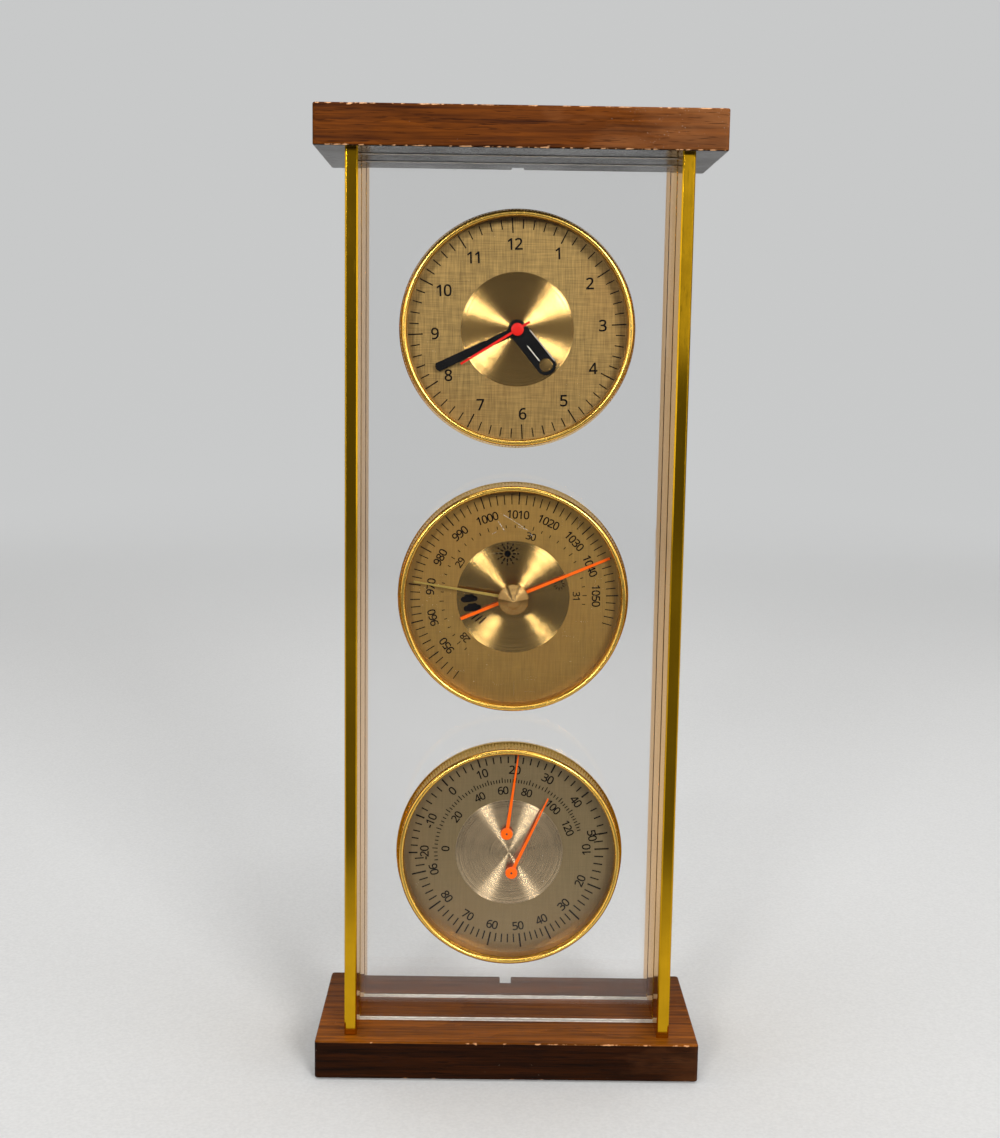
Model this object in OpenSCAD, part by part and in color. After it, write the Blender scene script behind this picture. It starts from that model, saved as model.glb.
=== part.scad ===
// Desk weather station: a clock, a barometer and a thermometer with hygrometer in a frame of
// two walnut boards, two gold bars and two clear panels. Millimetres, +Z up, front towards -Y.
// The origin is at the centre of the underside of the base.

/* [Boards] */
// Width of the base and of the top
board_w = 127; // [120:1:160]
// Depth of the base and of the top
board_d = 57.2; // [52:0.2:90]
// Thickness of the base and of the top
board_t = 12.7; // [10:0.1:20]
// Radius of the boards' upright corners
board_corner_r = 1.2; // [0.5:0.1:4]
// Width of the notch in the rear edge of each board
notch_w = 4; // [2:0.5:8]
// How far that notch goes in
notch_d = 5.5; // [2:0.5:8]

/* [Side bars and panels] */
// Thickness of a side bar
rail_t = 4.1; // [3.6:0.1:8]
// Depth of a side bar, front to back
rail_d = 46.5; // [42:0.5:50]
// Distance from a board's end to the outer face of its bar
rail_inset = 9.4; // [3:0.1:12]
// Chamfer along a bar's long edges
rail_chamfer = 0.5; // [0.2:0.1:1]
// Thickness of a clear panel
panel_t = 3.2; // [2:0.1:4]
// Distance from the middle plane to the middle of each panel
panel_offset = 9.8; // [8:0.1:12]
// Depth of the grooves that hold a panel
groove_depth = 1.2; // [0.6:0.1:2]
// Clearance of a panel in its groove and under the top
panel_gap = 0.15; // [0.05:0.05:0.4]

/* [Frame screws] */
// Shank diameter of the screws that hold the bars
screw_d = 2.4; // [2:0.1:2.8]
// Length of a screw below its head
screw_len = 20; // [16:1:30]
// Head diameter of a screw
screw_head_d = 5; // [4:0.1:6]
// Head height of a screw
screw_head_h = 1.8; // [1:0.1:2.5]
// Depth of the recess that hides a screw head
screw_recess = 5; // [4:0.5:7]
// Distance from the middle plane to each screw
screw_offset = 17; // [15:0.5:19]

/* [Instrument cases] */
// Clear height between the base and the lowest bezel
foot_gap = 22.8; // [2:0.1:60]
// Gap between two bezels
bezel_gap = 11; // [1:0.1:40]
// Clear height between the highest bezel and the top
head_gap = 16.6; // [2:0.1:60]
// Diameter of an instrument case
case_d = 59.6; // [56:0.1:72]
// Clearance between a case and its hole in the panel, on the radius
hole_gap = 0.7; // [0.4:0.05:1.2]
// Length of a case behind the front panel's face
case_len = 24; // [24:0.5:30]
// Wall of a case
case_wall = 1; // [0.8:0.1:1.2]
// Diameter of a bezel
bezel_d = 75.4; // [74.5:0.1:80]
// Height of a bezel in front of the panel
bezel_h = 8.4; // [8:0.1:12]
// Wall of a bezel's skirt
bezel_wall = 1.5; // [1:0.1:2.5]
// Width of the bezel's lip over the crystal
bezel_lip = 1.2; // [0.8:0.1:2]
// Thickness of the bezel's lip
bezel_lip_t = 1.6; // [1.2:0.1:2]
// Thickness of a crystal
crystal_t = 1.5; // [1:0.1:2]
// Thickness of a dial
dial_t = 0.5; // [0.3:0.1:0.8]

/* [Clock] */
// How far the clock dial sits turned anticlockwise
clock_turn = 3.5; // [-20:0.5:20]
// Where the hour hand points, clockwise from twelve
hour_angle = 140; // [0:1:359]
// Where the minute hand points
minute_angle = 244; // [0:1:359]
// Where the second hand points
second_angle = 238; // [0:1:359]
// Length of the hour hand
hour_len = 17.7; // [12:0.1:24]
// Length of the minute hand
minute_len = 28.7; // [20:0.1:32]
// Length of the second hand
second_len = 21.1; // [15:0.1:32]
// Diameter of the battery
battery_d = 12; // [10:0.5:12.5]
// Length of the battery
battery_len = 30.2; // [26:0.1:32]

/* [Barometer] */
// How far the barometer dial sits turned anticlockwise
baro_turn = 19; // [-20:0.5:20]
// Where the pressure pointer points, clockwise from the top
pressure_angle = 67; // [0:1:359]
// Where the set hand points
set_angle = 279; // [0:1:359]
// Length of the pressure pointer
pressure_len = 34; // [24:0.1:34.5]
// Length of the pointer's tail
pressure_tail = 18.5; // [8:0.1:24]
// Length of the set hand
set_len = 32.8; // [24:0.1:34]
// Diameter of the cone knob
knob_d = 10; // [7:0.1:14]
// Diameter of the pressure capsule
capsule_d = 34; // [26:0.5:36]

/* [Thermometer and hygrometer] */
// How far this dial sits turned anticlockwise
thermo_turn = 7.6; // [-20:0.1:20]
// Distance from the dial's centre to each needle's pivot
pivot_offset = 6.6; // [6:0.1:8]
// Where the temperature needle points, clockwise from the top
temperature_angle = 7.4; // [0:0.1:359]
// Where the humidity needle points
humidity_angle = 24.7; // [0:0.1:359]
// Length of the temperature needle
temperature_len = 27.7; // [18:0.1:28]
// Length of the humidity needle
humidity_len = 28.3; // [18:0.1:29]

/* [Hidden] */
$fn = 96;
eps = 0.01;
// Running clearance of a shaft in its hole, on the radius
run = 0.05;
// Clearance of a hand's hub on its arbor
fit = 0.02;

pitch = bezel_d + bezel_gap;
lowest_z = board_t + foot_gap + bezel_d/2;
clear_h = foot_gap + 2*pitch + bezel_d + head_gap;
total_h = clear_h + 2*board_t;
rail_x = board_w/2 - rail_inset - rail_t;
front_y = panel_offset + panel_t/2;
rail_screw_x = rail_x + rail_t/2;
clock_z = lowest_z + 2*pitch;
baro_z = lowest_z + pitch;

case_r = case_d/2;
bore_r = case_r - case_wall;
hole_r = case_r + hole_gap;
bezel_r = bezel_d/2;
seat_r = bezel_r - bezel_wall - 0.1;
opening_r = seat_r - bezel_lip;
flange_t = 1;
dial_top = flange_t + dial_t;
crystal_top = bezel_h - bezel_lip_t;
crystal_bottom = crystal_top - crystal_t;
case_back = -case_len;
case_floor = case_back + case_wall;

// Clock movement, measured towards the front from the panel's face
housing_front = -6.5;
housing_wall = 1.2;
housing_floor = housing_front - 1.5;
back_plate_t = 1.5;
back_plate_top = case_floor + back_plate_t;
mid_plate_t = 1;
mid_plate_top = -12;
housing_x = 19;
housing_top = 20.2;
housing_r = bore_r - 1.2;
bay_top = -7.8;
bay_gap = 0.3;
bay_bottom = bay_top - battery_d - 2*bay_gap;
housing_bottom = bay_bottom - housing_wall;
battery_y = bay_bottom + bay_gap + battery_d/2;
battery_z = case_floor + 0.2 + battery_d/2;
contact_t = 0.4;
bay_half = battery_len/2 + bay_gap + 2*contact_t;
set_shaft_r = 1;
set_hole_r = 1.6;
boss_screw_r = 0.75;
boss_r = 1.7;
bush_r = 3;
bush_top = 1.4;
pipe_r = 2.3;
tube_r = 1.5;
arbor_r = 0.8;
pivot_r = 0.4;
hour_hand_z = 1.9;
hour_hand_t = 0.7;
minute_hand_z = 3;
minute_hand_t = 0.6;
second_hand_z = 4;

// Tooth counts and modules: motion work, then the running train
hour_teeth = 40;
motion_pinion_teeth = 10;
hour_mod = 0.3;
cannon_teeth = 15;
motion_teeth = 45;
set_teeth = 15;
motion_mod = 0.25;
centre_teeth = 64;
third_pinion_teeth = 8;
centre_mod = 0.17;
third_teeth = 60;
fourth_pinion_teeth = 8;
third_mod = 0.18;
fourth_teeth = 40;
fifth_pinion_teeth = 8;
fourth_mod = 0.25;
fifth_teeth = 48;
rotor_teeth = 8;
fifth_mod = 0.2;

// Centres of the wheels, each at its gear distance from the wheel that it meshes with
motion_dir = 0;
set_dir = 60;
third_dir = 150;
fifth_dir = 60;
rotor_dir = 100;
motion_dist = motion_mod*(cannon_teeth + motion_teeth)/2;
set_dist = motion_mod*(set_teeth + motion_teeth)/2;
third_dist = third_mod*(fourth_pinion_teeth + third_teeth)/2;
fifth_dist = fourth_mod*(fourth_teeth + fifth_pinion_teeth)/2;
rotor_dist = fifth_mod*(fifth_teeth + rotor_teeth)/2;
function polar(r, a) = [r*cos(a), r*sin(a)];
motion_at = polar(motion_dist, motion_dir);
set_at = motion_at + polar(set_dist, set_dir);
third_at = polar(third_dist, third_dir);
fifth_at = polar(fifth_dist, fifth_dir);
rotor_at = fifth_at + polar(rotor_dist, rotor_dir);

// Levels of the wheels
hour_wheel_z = -9.4;
motion_wheel_z = -11.2;
centre_wheel_z = -14.3;
third_wheel_z = -16;
fourth_wheel_z = -17.7;
fifth_wheel_z = -19.1;
wheel_t = 0.6;
pinion_t = 1.4;
// Ends of the pivots that run between the back plate and the mid plate
pivot_low = back_plate_top - 0.5;
pivot_top = mid_plate_top - mid_plate_t + 0.4;

coil_y = 16.2;
coil_r = 2.3;
coil_len = 14.2;
motor_z = -17.4;
stator_t = 1;
magnet_r = 2;

// Barometer movement
lower_plate_z = -11.2;
bridge_z = -4.4;
baro_plate_t = 1;
baro_plate_r = 24;
pillar_r = 1.5;
pillar_ring_r = 21.5;
pinion_teeth = 10;
quadrant_teeth = 100;
quadrant_mod = 0.2;
quadrant_dir = 120;
quadrant_dist = quadrant_mod*(pinion_teeth + quadrant_teeth)/2;
quadrant_at = polar(quadrant_dist, quadrant_dir);
quadrant_z = -8.4;
quadrant_t = 0.8;
quadrant_half = 27;
tail_r = 1.2;
tail_pin_r = 0.35;
staff_r = 0.6;
baro_arbor_r = 0.7;
pointer_z = 2.4;
pointer_t = 0.4;
stem_r = 1.2;
set_hand_z = crystal_bottom - 1;
rocker_r = 0.9;
rocker_y = 15.5;
rocker_z = -13;
capsule_at = [0, 3];
capsule_z = -22;
capsule_top = -15.6;
capsule_post_top = -13.8;
finger_z = -6.8;
finger_t = 0.6;
finger_gap = 0.3;
screw_hole_at = [8, -18];

// Thermometer and hygrometer inside
bridge_plate_z = -7.5;
coil_z = -5.2;
coil_w = 3;
coil_start_r = 1.5;
coil_end_r = 5.4;
coil_turns = 5;
strip_t = 0.25;
thermo_post_r = 0.8;
needle_arbor_r = 0.5;
temperature_z = 2;
humidity_z = 3.2;
needle_t = 0.35;

// A rectangle with round corners, centred
module rounded_rect(w, d, r) {
    square([w - 2*r, d], center = true);
    square([w, d - 2*r], center = true);
    for (sx = [-1, 1], sy = [-1, 1]) translate([sx*(w/2 - r), sy*(d/2 - r)]) circle(r = r);
}

// A ring or tube, standing on z
module tube(outer, inner, z, h) {
    translate([0, 0, z]) difference() {
        cylinder(r = outer, h = h);
        translate([0, 0, -eps]) cylinder(r = inner, h = h + 2*eps);
    }
}

// A plain shaft, standing on z
module shaft(r, z, top) {
    translate([0, 0, z]) cylinder(r = r, h = top - z);
}

// Moves to an instrument's centre on the front panel's face; +Z then points at the viewer
module on_panel(z, turn = 0) {
    translate([0, -front_y, z]) rotate([90, 0, 0]) rotate(turn) children();
}

// Turns a shape drawn along +Y to an angle counted clockwise from the top
module pointing(angle) {
    rotate(-angle) children();
}

// Where the first tooth of a wheel goes so that it meshes with its neighbour, which lies
// towards direction and whose own first tooth is at other_angle
function mesh_angle(direction, other_angle, other_teeth, teeth) =
    let (steps = (direction - other_angle)*other_teeth/360)
    direction + 180 + (steps - floor(steps) + 0.5)*360/teeth;

// Outline of a gear with slim tapered teeth, the first one centred on +X
module gear_outline(teeth, mod, from = 0, to = -1) {
    step = 360/teeth;
    last = to < 0 ? teeth - 1 : to;
    tooth = [[-0.24, -1.25], [-0.1, 0.85], [0.1, 0.85], [0.24, -1.25]];
    rim = [for (i = [from:last]) for (p = tooth) polar(mod*(teeth/2 + p[1]), (i + p[0])*step)];
    polygon(to < 0 ? rim : concat([[0, 0]], rim));
}

module gear(teeth, mod, z, thick, hole, first = 0) {
    translate([0, 0, z]) rotate(first) difference() {
        linear_extrude(thick) gear_outline(teeth, mod);
        if (hole > 0) translate([0, 0, -eps]) cylinder(r = hole, h = thick + 2*eps, $fn = 48);
    }
}

// Frame

module board(colour) {
    color(colour) linear_extrude(board_t) difference() {
        rounded_rect(board_w, board_d, board_corner_r);
        translate([0, board_d/2]) square([notch_w, 2*notch_d], center = true);
    }
}

// The four places where a screw enters a board
module at_screws() {
    for (sx = [-1, 1], sy = [-1, 1]) translate([sx*rail_screw_x, sy*screw_offset, 0]) children();
}

module screw_hole() {
    translate([0, 0, -eps]) cylinder(r = screw_head_d/2 + 0.5, h = screw_recess + eps);
    cylinder(r = screw_d/2 + 0.2, h = board_t + eps);
}

module base_board() {
    difference() {
        board("#4a2616");
        at_screws() screw_hole();
    }
}

module from_top() {
    translate([0, 0, total_h]) mirror([0, 0, 1]) children();
}

module top_board() {
    from_top() difference() {
        board("#7a4420");
        at_screws() screw_hole();
    }
}

module screw() {
    slot_w = 0.8;
    difference() {
        translate([0, 0, screw_recess - screw_head_h]) cylinder(r = screw_head_d/2, h = screw_head_h);
        translate([-screw_head_d, -slot_w/2, screw_recess - screw_head_h - eps])
            cube([2*screw_head_d, slot_w, slot_w]);
    }
    translate([0, 0, screw_recess]) cylinder(r = screw_d/2, h = screw_len);
}

module frame_screws() {
    color("#b9b9b4") {
        at_screws() screw();
        from_top() at_screws() screw();
    }
}

module screw_plugs() {
    plug_t = screw_recess - screw_head_h - 0.1;
    color("#7a4420") from_top() at_screws() cylinder(r = screw_head_d/2 + 0.45, h = plug_t);
}

// Outline of one bar, its inner face towards -X at x = 0
module rail_outline() {
    c = rail_chamfer;
    h = rail_d/2;
    difference() {
        polygon([[c, -h], [rail_t - c, -h], [rail_t, c - h], [rail_t, h - c], [rail_t - c, h],
            [c, h], [0, h - c], [0, c - h]]);
        for (s = [-1, 1]) translate([0, s*panel_offset])
            square([2*groove_depth, panel_t + 2*panel_gap], center = true);
    }
}

module rail() {
    port_depth = screw_len;
    color("#b08a2e") difference() {
        translate([rail_x, 0, board_t]) linear_extrude(clear_h) rail_outline();
        for (s = [-1, 1]) translate([rail_screw_x, s*screw_offset, 0]) {
            translate([0, 0, board_t - eps]) cylinder(r = screw_d/2 + run, h = port_depth);
            translate([0, 0, board_t + clear_h - port_depth])
                cylinder(r = screw_d/2 + run, h = port_depth + eps);
        }
    }
}

module right_rail() {
    rail();
}

module left_rail() {
    mirror([1, 0, 0]) rail();
}

module panel() {
    half = rail_x + groove_depth - panel_gap;
    difference() {
        translate([-half, -panel_t/2, board_t]) cube([2*half, panel_t, clear_h - panel_gap]);
        for (i = [0:2]) translate([0, panel_t, lowest_z + i*pitch])
            rotate([90, 0, 0]) cylinder(r = hole_r, h = 2*panel_t);
    }
}

module front_panel() {
    color("#e6eef0", 0.35) translate([0, -panel_offset, 0]) panel();
}

module rear_panel() {
    color("#e6eef0", 0.35) translate([0, panel_offset, 0]) panel();
}

// Parts that all three instruments share

// Rubber rings that grip each case in its hole in the front panel
module friction_rings() {
    ring_len = panel_t - 0.4;
    color("#202020") for (i = [0:2]) on_panel(lowest_z + i*pitch)
        tube(hole_r - run, case_r + run, -ring_len - 0.2, ring_len);
}

// Spacer rings that hold each crystal up against the bezel's lip
module seat_rings() {
    color("#c9a23c") for (i = [0:2]) on_panel(lowest_z + i*pitch)
        tube(seat_r, opening_r + 0.2, dial_top, crystal_bottom - dial_top);
}

// Drawn ring: a straight skirt, a round front edge, and a lip over the crystal
module bezel() {
    rim_r = 1.6;
    arc_steps = 12;
    skirt_r = seat_r + 0.1;
    outer = [for (i = [0:arc_steps]) [bezel_r - rim_r, bezel_h - rim_r] + polar(rim_r, i*90/arc_steps)];
    lip = [[opening_r + 0.3, bezel_h - 0.2], [opening_r, bezel_h - 0.7], [opening_r, crystal_top]];
    color("#caa03a") rotate_extrude()
        polygon(concat([[skirt_r, 0], [bezel_r, 0]], outer, lip, [[skirt_r, crystal_top]]));
}

module crystal(hole = 0) {
    color("#eef4f4", 0.25) translate([0, 0, crystal_bottom]) difference() {
        cylinder(r = seat_r, h = crystal_t);
        if (hole > 0) translate([0, 0, -eps]) cylinder(r = hole, h = crystal_t + 2*eps);
    }
}

// Dial plate, with one hole at each place in holes and a key notch at its lowest point
module dial(colour, holes, r) {
    key_r = 0.6;
    color(colour) difference() {
        translate([0, 0, flange_t]) cylinder(r = seat_r, h = dial_t);
        for (p = holes) translate([p[0], p[1], flange_t - eps]) cylinder(r = r, h = dial_t + 2*eps);
        translate([0, -seat_r, flange_t - eps]) cylinder(r = key_r, h = dial_t + 2*eps);
    }
}

// Deep-drawn can with a flange that rests on the panel; children are cut out of its back
module can(colour = "#8f8f8a") {
    color(colour) difference() {
        union() {
            translate([0, 0, case_back]) cylinder(r = case_r, h = case_len + eps);
            cylinder(r = seat_r, h = flange_t);
        }
        translate([0, 0, case_floor]) cylinder(r = bore_r, h = case_len + flange_t);
        translate([0, 0, case_back - eps]) linear_extrude(case_wall + 2*eps) children();
    }
}

// Clock

module clock_bezel() {
    on_panel(clock_z) bezel();
}

module clock_crystal() {
    on_panel(clock_z) crystal();
}

module clock_dial() {
    on_panel(clock_z, clock_turn) dial("#b39a5c", [[0, 0]], bush_r + 0.1);
}

module screw_places() {
    for (sx = [-1, 1]) translate([sx*(housing_x - 2.6), housing_top - 3.4]) children();
}

module battery_window() {
    translate([-bay_half, bay_bottom]) square([2*bay_half, bay_top - bay_bottom]);
}

module clock_case() {
    on_panel(clock_z) can() {
        battery_window();
        translate(set_at) circle(r = set_hole_r);
        screw_places() circle(r = boss_screw_r + 0.15);
    }
}

module housing_outline(inset) {
    intersection() {
        translate([inset - housing_x, housing_bottom + inset])
            square([2*(housing_x - inset), housing_top - housing_bottom - 2*inset]);
        circle(r = housing_r - inset);
    }
}

// Moulded shell of the movement, open to the back, with a bay for the battery below
module movement_housing() {
    depth = housing_floor - back_plate_top;
    partition_t = 1;
    color("#2a2a2c") on_panel(clock_z) difference() {
        union() {
            translate([0, 0, back_plate_top]) linear_extrude(housing_front - back_plate_top)
                housing_outline(0);
            shaft(bush_r, housing_front - eps, bush_top);
        }
        translate([0, 0, back_plate_top - eps]) linear_extrude(depth + eps) difference() {
            housing_outline(housing_wall);
            translate([-housing_x, bay_top]) square([2*housing_x, partition_t]);
            screw_places() circle(r = boss_r);
        }
        translate([0, 0, back_plate_top - eps])
            cylinder(r = pipe_r + run, h = bush_top - back_plate_top + 1);
        screw_places() translate([0, 0, back_plate_top - eps]) cylinder(r = boss_screw_r + run, h = 8);
        for (p = [motion_at, set_at]) translate([p[0], p[1], housing_floor - eps])
            cylinder(r = pivot_r + run, h = 0.8);
    }
}

// Plate between the motion work and the running train
module movement_mid_plate() {
    color("#d8d4c8") on_panel(clock_z) translate([0, 0, mid_plate_top - mid_plate_t]) difference() {
        linear_extrude(mid_plate_t) difference() {
            intersection() {
                housing_outline(housing_wall + 0.1);
                translate([-housing_x, bay_top + 1.1]) square([2*housing_x, 2*housing_x]);
            }
            screw_places() circle(r = boss_r + 0.3);
            circle(r = tube_r + run);
            translate(set_at) circle(r = set_shaft_r + run);
        }
        for (p = [third_at, fifth_at, rotor_at])
            translate([p[0], p[1], -eps]) cylinder(r = pivot_r + run, h = 0.7);
        translate([motion_at[0], motion_at[1], 0.3]) cylinder(r = pivot_r + run, h = mid_plate_t);
    }
}

// Plate that closes the train chamber and carries the rear pivots
module movement_back_plate() {
    color("#d8d4c8") on_panel(clock_z) translate([0, 0, case_floor]) difference() {
        linear_extrude(back_plate_t) difference() {
            intersection() {
                housing_outline(0);
                translate([-housing_x, bay_top]) square([2*housing_x, 2*housing_x]);
            }
            screw_places() circle(r = boss_screw_r + 0.15);
            translate(set_at) circle(r = set_shaft_r + run);
        }
        for (p = [[0, 0], third_at, fifth_at, rotor_at])
            translate([p[0], p[1], back_plate_t - 0.8]) cylinder(r = pivot_r + run, h = 1);
    }
}

module movement_screws() {
    color("#b9b9b4") on_panel(clock_z) screw_places() {
        shaft(1.6, case_back - 1, case_back);
        shaft(boss_screw_r, case_back - eps, back_plate_top + 6);
    }
}

// Broad baton with a round hole near its tip
module hour_hand() {
    w = 6.5;
    t = hour_hand_t;
    color("#111111") on_panel(clock_z) pointing(hour_angle) translate([0, 0, hour_hand_z]) difference() {
        union() {
            cylinder(r = bush_r, h = t);
            translate([-w/2, 0, 0]) cube([w, hour_len - w/2, t]);
            translate([0, hour_len - w/2, 0]) cylinder(r = w/2, h = t);
        }
        translate([0, 0, -eps]) cylinder(r = pipe_r + fit, h = t + 2*eps);
        translate([0, hour_len - w/2, -eps]) cylinder(r = 2.1, h = t + 2*eps);
    }
}

// Hour wheel with the long pipe that carries the hour hand
module hour_wheel() {
    first = mesh_angle(motion_dir + 180, 0, motion_pinion_teeth, hour_teeth);
    color("#c8a64a") on_panel(clock_z) {
        gear(hour_teeth, hour_mod, hour_wheel_z, 1, tube_r + run, first);
        tube(pipe_r, tube_r + run, hour_wheel_z, hour_hand_z + hour_hand_t - hour_wheel_z);
    }
}

module minute_hand() {
    w = 2.2;
    t = minute_hand_t;
    color("#111111") on_panel(clock_z) pointing(minute_angle) translate([0, 0, minute_hand_z]) difference() {
        union() {
            cylinder(r = 2.4, h = t);
            translate([-w/2, 0, 0]) cube([w, minute_len - w/2, t]);
            translate([0, minute_len - w/2, 0]) cylinder(r = w/2, h = t);
        }
        translate([0, 0, -eps]) cylinder(r = tube_r + fit, h = t + 2*eps);
    }
}

// Tube that carries the minute hand, with the cannon pinion near its lower end
module minute_arbor() {
    low = centre_wheel_z - 0.2;
    first = mesh_angle(motion_dir + 180, 0, motion_teeth, cannon_teeth);
    color("#c8a64a") on_panel(clock_z) {
        tube(tube_r, arbor_r + run, low, minute_hand_z + minute_hand_t - low);
        gear(cannon_teeth, motion_mod, motion_wheel_z - 0.2, 1.2, arbor_r + run, first);
    }
}

module second_hand() {
    w = 0.7;
    tail = 4.6;
    color("#e02818") on_panel(clock_z) pointing(second_angle) translate([0, 0, second_hand_z]) difference() {
        union() {
            cylinder(r = 2, h = 0.8);
            translate([-w/2, -tail, 0]) cube([w, tail + second_len, 0.3]);
        }
        translate([0, 0, -eps]) cylinder(r = arbor_r + fit, h = 0.5);
    }
}

// Arbor of the second hand with the fourth wheel and its pinion
module second_arbor() {
    step_z = centre_wheel_z - 0.5;
    wheel_first = mesh_angle(fifth_dir + 180, 0, fifth_pinion_teeth, fourth_teeth);
    pinion_first = mesh_angle(third_dir + 180, 0, third_teeth, fourth_pinion_teeth);
    color("#c8a64a") on_panel(clock_z) {
        shaft(arbor_r, step_z, second_hand_z + 0.49);
        shaft(pivot_r, pivot_low, step_z + eps);
        gear(fourth_teeth, fourth_mod, fourth_wheel_z, wheel_t, 0, wheel_first);
        gear(fourth_pinion_teeth, third_mod, third_wheel_z - 0.3, pinion_t, 0, pinion_first);
    }
}

// A wheel and its pinion on one arbor, at a place of its own
module train_wheel(at, teeth, mod, z, p_teeth, p_mod, p_z) {
    on_panel(clock_z) translate([at[0], at[1], 0]) {
        gear(teeth, mod, z, wheel_t, 0);
        gear(p_teeth, p_mod, p_z, pinion_t, 0);
        shaft(pivot_r, pivot_low, pivot_top);
    }
}

module motion_wheel() {
    color("#c8a64a") on_panel(clock_z) translate([motion_at[0], motion_at[1], 0]) {
        gear(motion_teeth, motion_mod, motion_wheel_z, 0.8, 0, 0);
        gear(motion_pinion_teeth, hour_mod, hour_wheel_z - 0.4, 1.6, 0, 0);
        shaft(pivot_r, motion_wheel_z - 1.3, housing_floor + 0.6);
        shaft(2*pivot_r, motion_wheel_z, hour_wheel_z);
    }
}

// Setting knob behind the case, its long shaft and its pinion
module set_knob() {
    grips = 12;
    knob_r = 4;
    first = mesh_angle(set_dir, 0, motion_teeth, set_teeth);
    color("#2a2a2c") on_panel(clock_z) translate([set_at[0], set_at[1], 0]) {
        shaft(set_shaft_r, case_back - 1, motion_wheel_z + 0.5);
        shaft(pivot_r, motion_wheel_z, housing_floor + 0.6);
        gear(set_teeth, motion_mod, motion_wheel_z - 0.2, 1.2, 0, first);
        translate([0, 0, case_back - 3.8]) difference() {
            cylinder(r = knob_r, h = 3);
            for (i = [0:grips - 1]) rotate(i*360/grips) translate([knob_r + 0.3, 0, -eps])
                cylinder(r = 0.6, h = 3 + 2*eps, $fn = 24);
        }
    }
}

module centre_wheel() {
    first = mesh_angle(third_dir + 180, 0, third_pinion_teeth, centre_teeth);
    color("#c8a64a") on_panel(clock_z)
        gear(centre_teeth, centre_mod, centre_wheel_z, wheel_t, tube_r + run, first);
}

module third_wheel() {
    color("#c8a64a") train_wheel(third_at, third_teeth, third_mod, third_wheel_z,
        third_pinion_teeth, centre_mod, centre_wheel_z - 0.4);
}

module fifth_wheel() {
    color("#e8e4da") train_wheel(fifth_at, fifth_teeth, fifth_mod, fifth_wheel_z,
        fifth_pinion_teeth, fourth_mod, fourth_wheel_z - 0.4);
}

// Magnet of the stepping motor with its pinion
module rotor() {
    first = mesh_angle(rotor_dir, 0, fifth_teeth, rotor_teeth);
    color("#55585c") on_panel(clock_z) translate([rotor_at[0], rotor_at[1], 0]) {
        shaft(pivot_r, pivot_low, pivot_top);
        gear(rotor_teeth, fifth_mod, fifth_wheel_z - 0.3, 1.2, 0, first);
        shaft(magnet_r, motor_z - 0.4, motor_z + stator_t + 0.4);
    }
}

// Iron plate round the rotor, with a leg up to each end of the coil
module stator() {
    leg_w = 3;
    leg_x = coil_len/2 + leg_w/2 + 0.1;
    color("#9a9c9e") on_panel(clock_z) translate([0, 0, motor_z]) linear_extrude(stator_t) difference() {
        union() {
            translate([rotor_at[0] - leg_x - leg_w/2, rotor_at[1] - 2.9]) square([2*leg_x + leg_w, 5.8]);
            for (s = [-1, 1]) translate([rotor_at[0] + s*leg_x - leg_w/2, rotor_at[1]])
                square([leg_w, coil_y - rotor_at[1] + 1.2]);
        }
        translate(rotor_at) circle(r = magnet_r + 0.4);
        translate(set_at) circle(r = set_hole_r);
    }
}

// Copper winding on its bobbin, between the stator's legs
module coil() {
    flange = 0.6;
    low_x = rotor_at[0] - coil_len/2;
    color("#b5602a") on_panel(clock_z) translate([low_x, coil_y, motor_z + stator_t/2])
        rotate([0, 90, 0]) {
            cylinder(r = coil_r - 0.3, h = coil_len);
            cylinder(r = coil_r, h = flange);
            translate([0, 0, coil_len - flange]) cylinder(r = coil_r, h = flange);
        }
}

// Circuit board along the left side, with its chip and its crystal can
module circuit_board() {
    x = 1.6 - housing_x;
    y = bay_top + 2;
    z = back_plate_top + 0.3;
    color("#2f6b3c") on_panel(clock_z) {
        translate([x, y, z]) cube([6, 20, 1]);
        translate([x + 3, y + 5, z + 1 - eps]) cylinder(r = 2.2, h = 0.8);
        translate([x + 2, y + 9, z + 1 - eps]) cube([2, 6, 2]);
    }
}

module battery() {
    cap_len = 1;
    color("#c7cbd0") on_panel(clock_z) translate([-battery_len/2, battery_y, battery_z])
        rotate([0, 90, 0]) {
        cylinder(r = battery_d/2, h = battery_len - cap_len);
        translate([0, 0, battery_len - cap_len - eps]) cylinder(r = battery_d/5, h = cap_len);
    }
}

// Spring plates at the two ends of the battery bay
module battery_contacts() {
    w = 7;
    t = contact_t;
    color("#d9d9d4") on_panel(clock_z) for (s = [-1, 1])
        translate([s*(battery_len/2 + bay_gap + t/2) - t/2, battery_y - w/2, battery_z - w/2])
            cube([t, w, w]);
}

// Barometer

module baro_bezel() {
    on_panel(baro_z) bezel();
}

module baro_crystal() {
    on_panel(baro_z) crystal(stem_r + run);
}

module baro_dial() {
    on_panel(baro_z, baro_turn) dial("#b08f4a", [[0, 0]], stem_r);
}

module baro_case() {
    on_panel(baro_z) can() {
        translate(screw_hole_at) circle(r = 2.3);
        for (a = [30, 150]) translate(polar(18, a)) circle(r = 1);
    }
}

// Cone knob in front of the crystal, with the stem that passes through it
module set_hand_knob() {
    cone_z = crystal_top + 0.2;
    color("#c2a15a") on_panel(baro_z) {
        shaft(stem_r, set_hand_z, cone_z + eps);
        translate([0, 0, cone_z]) cylinder(r = knob_d/2, h = 1);
        translate([0, 0, cone_z + 1]) cylinder(r1 = knob_d/2, r2 = 0.3, h = knob_d/2 - 1);
    }
}

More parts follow.
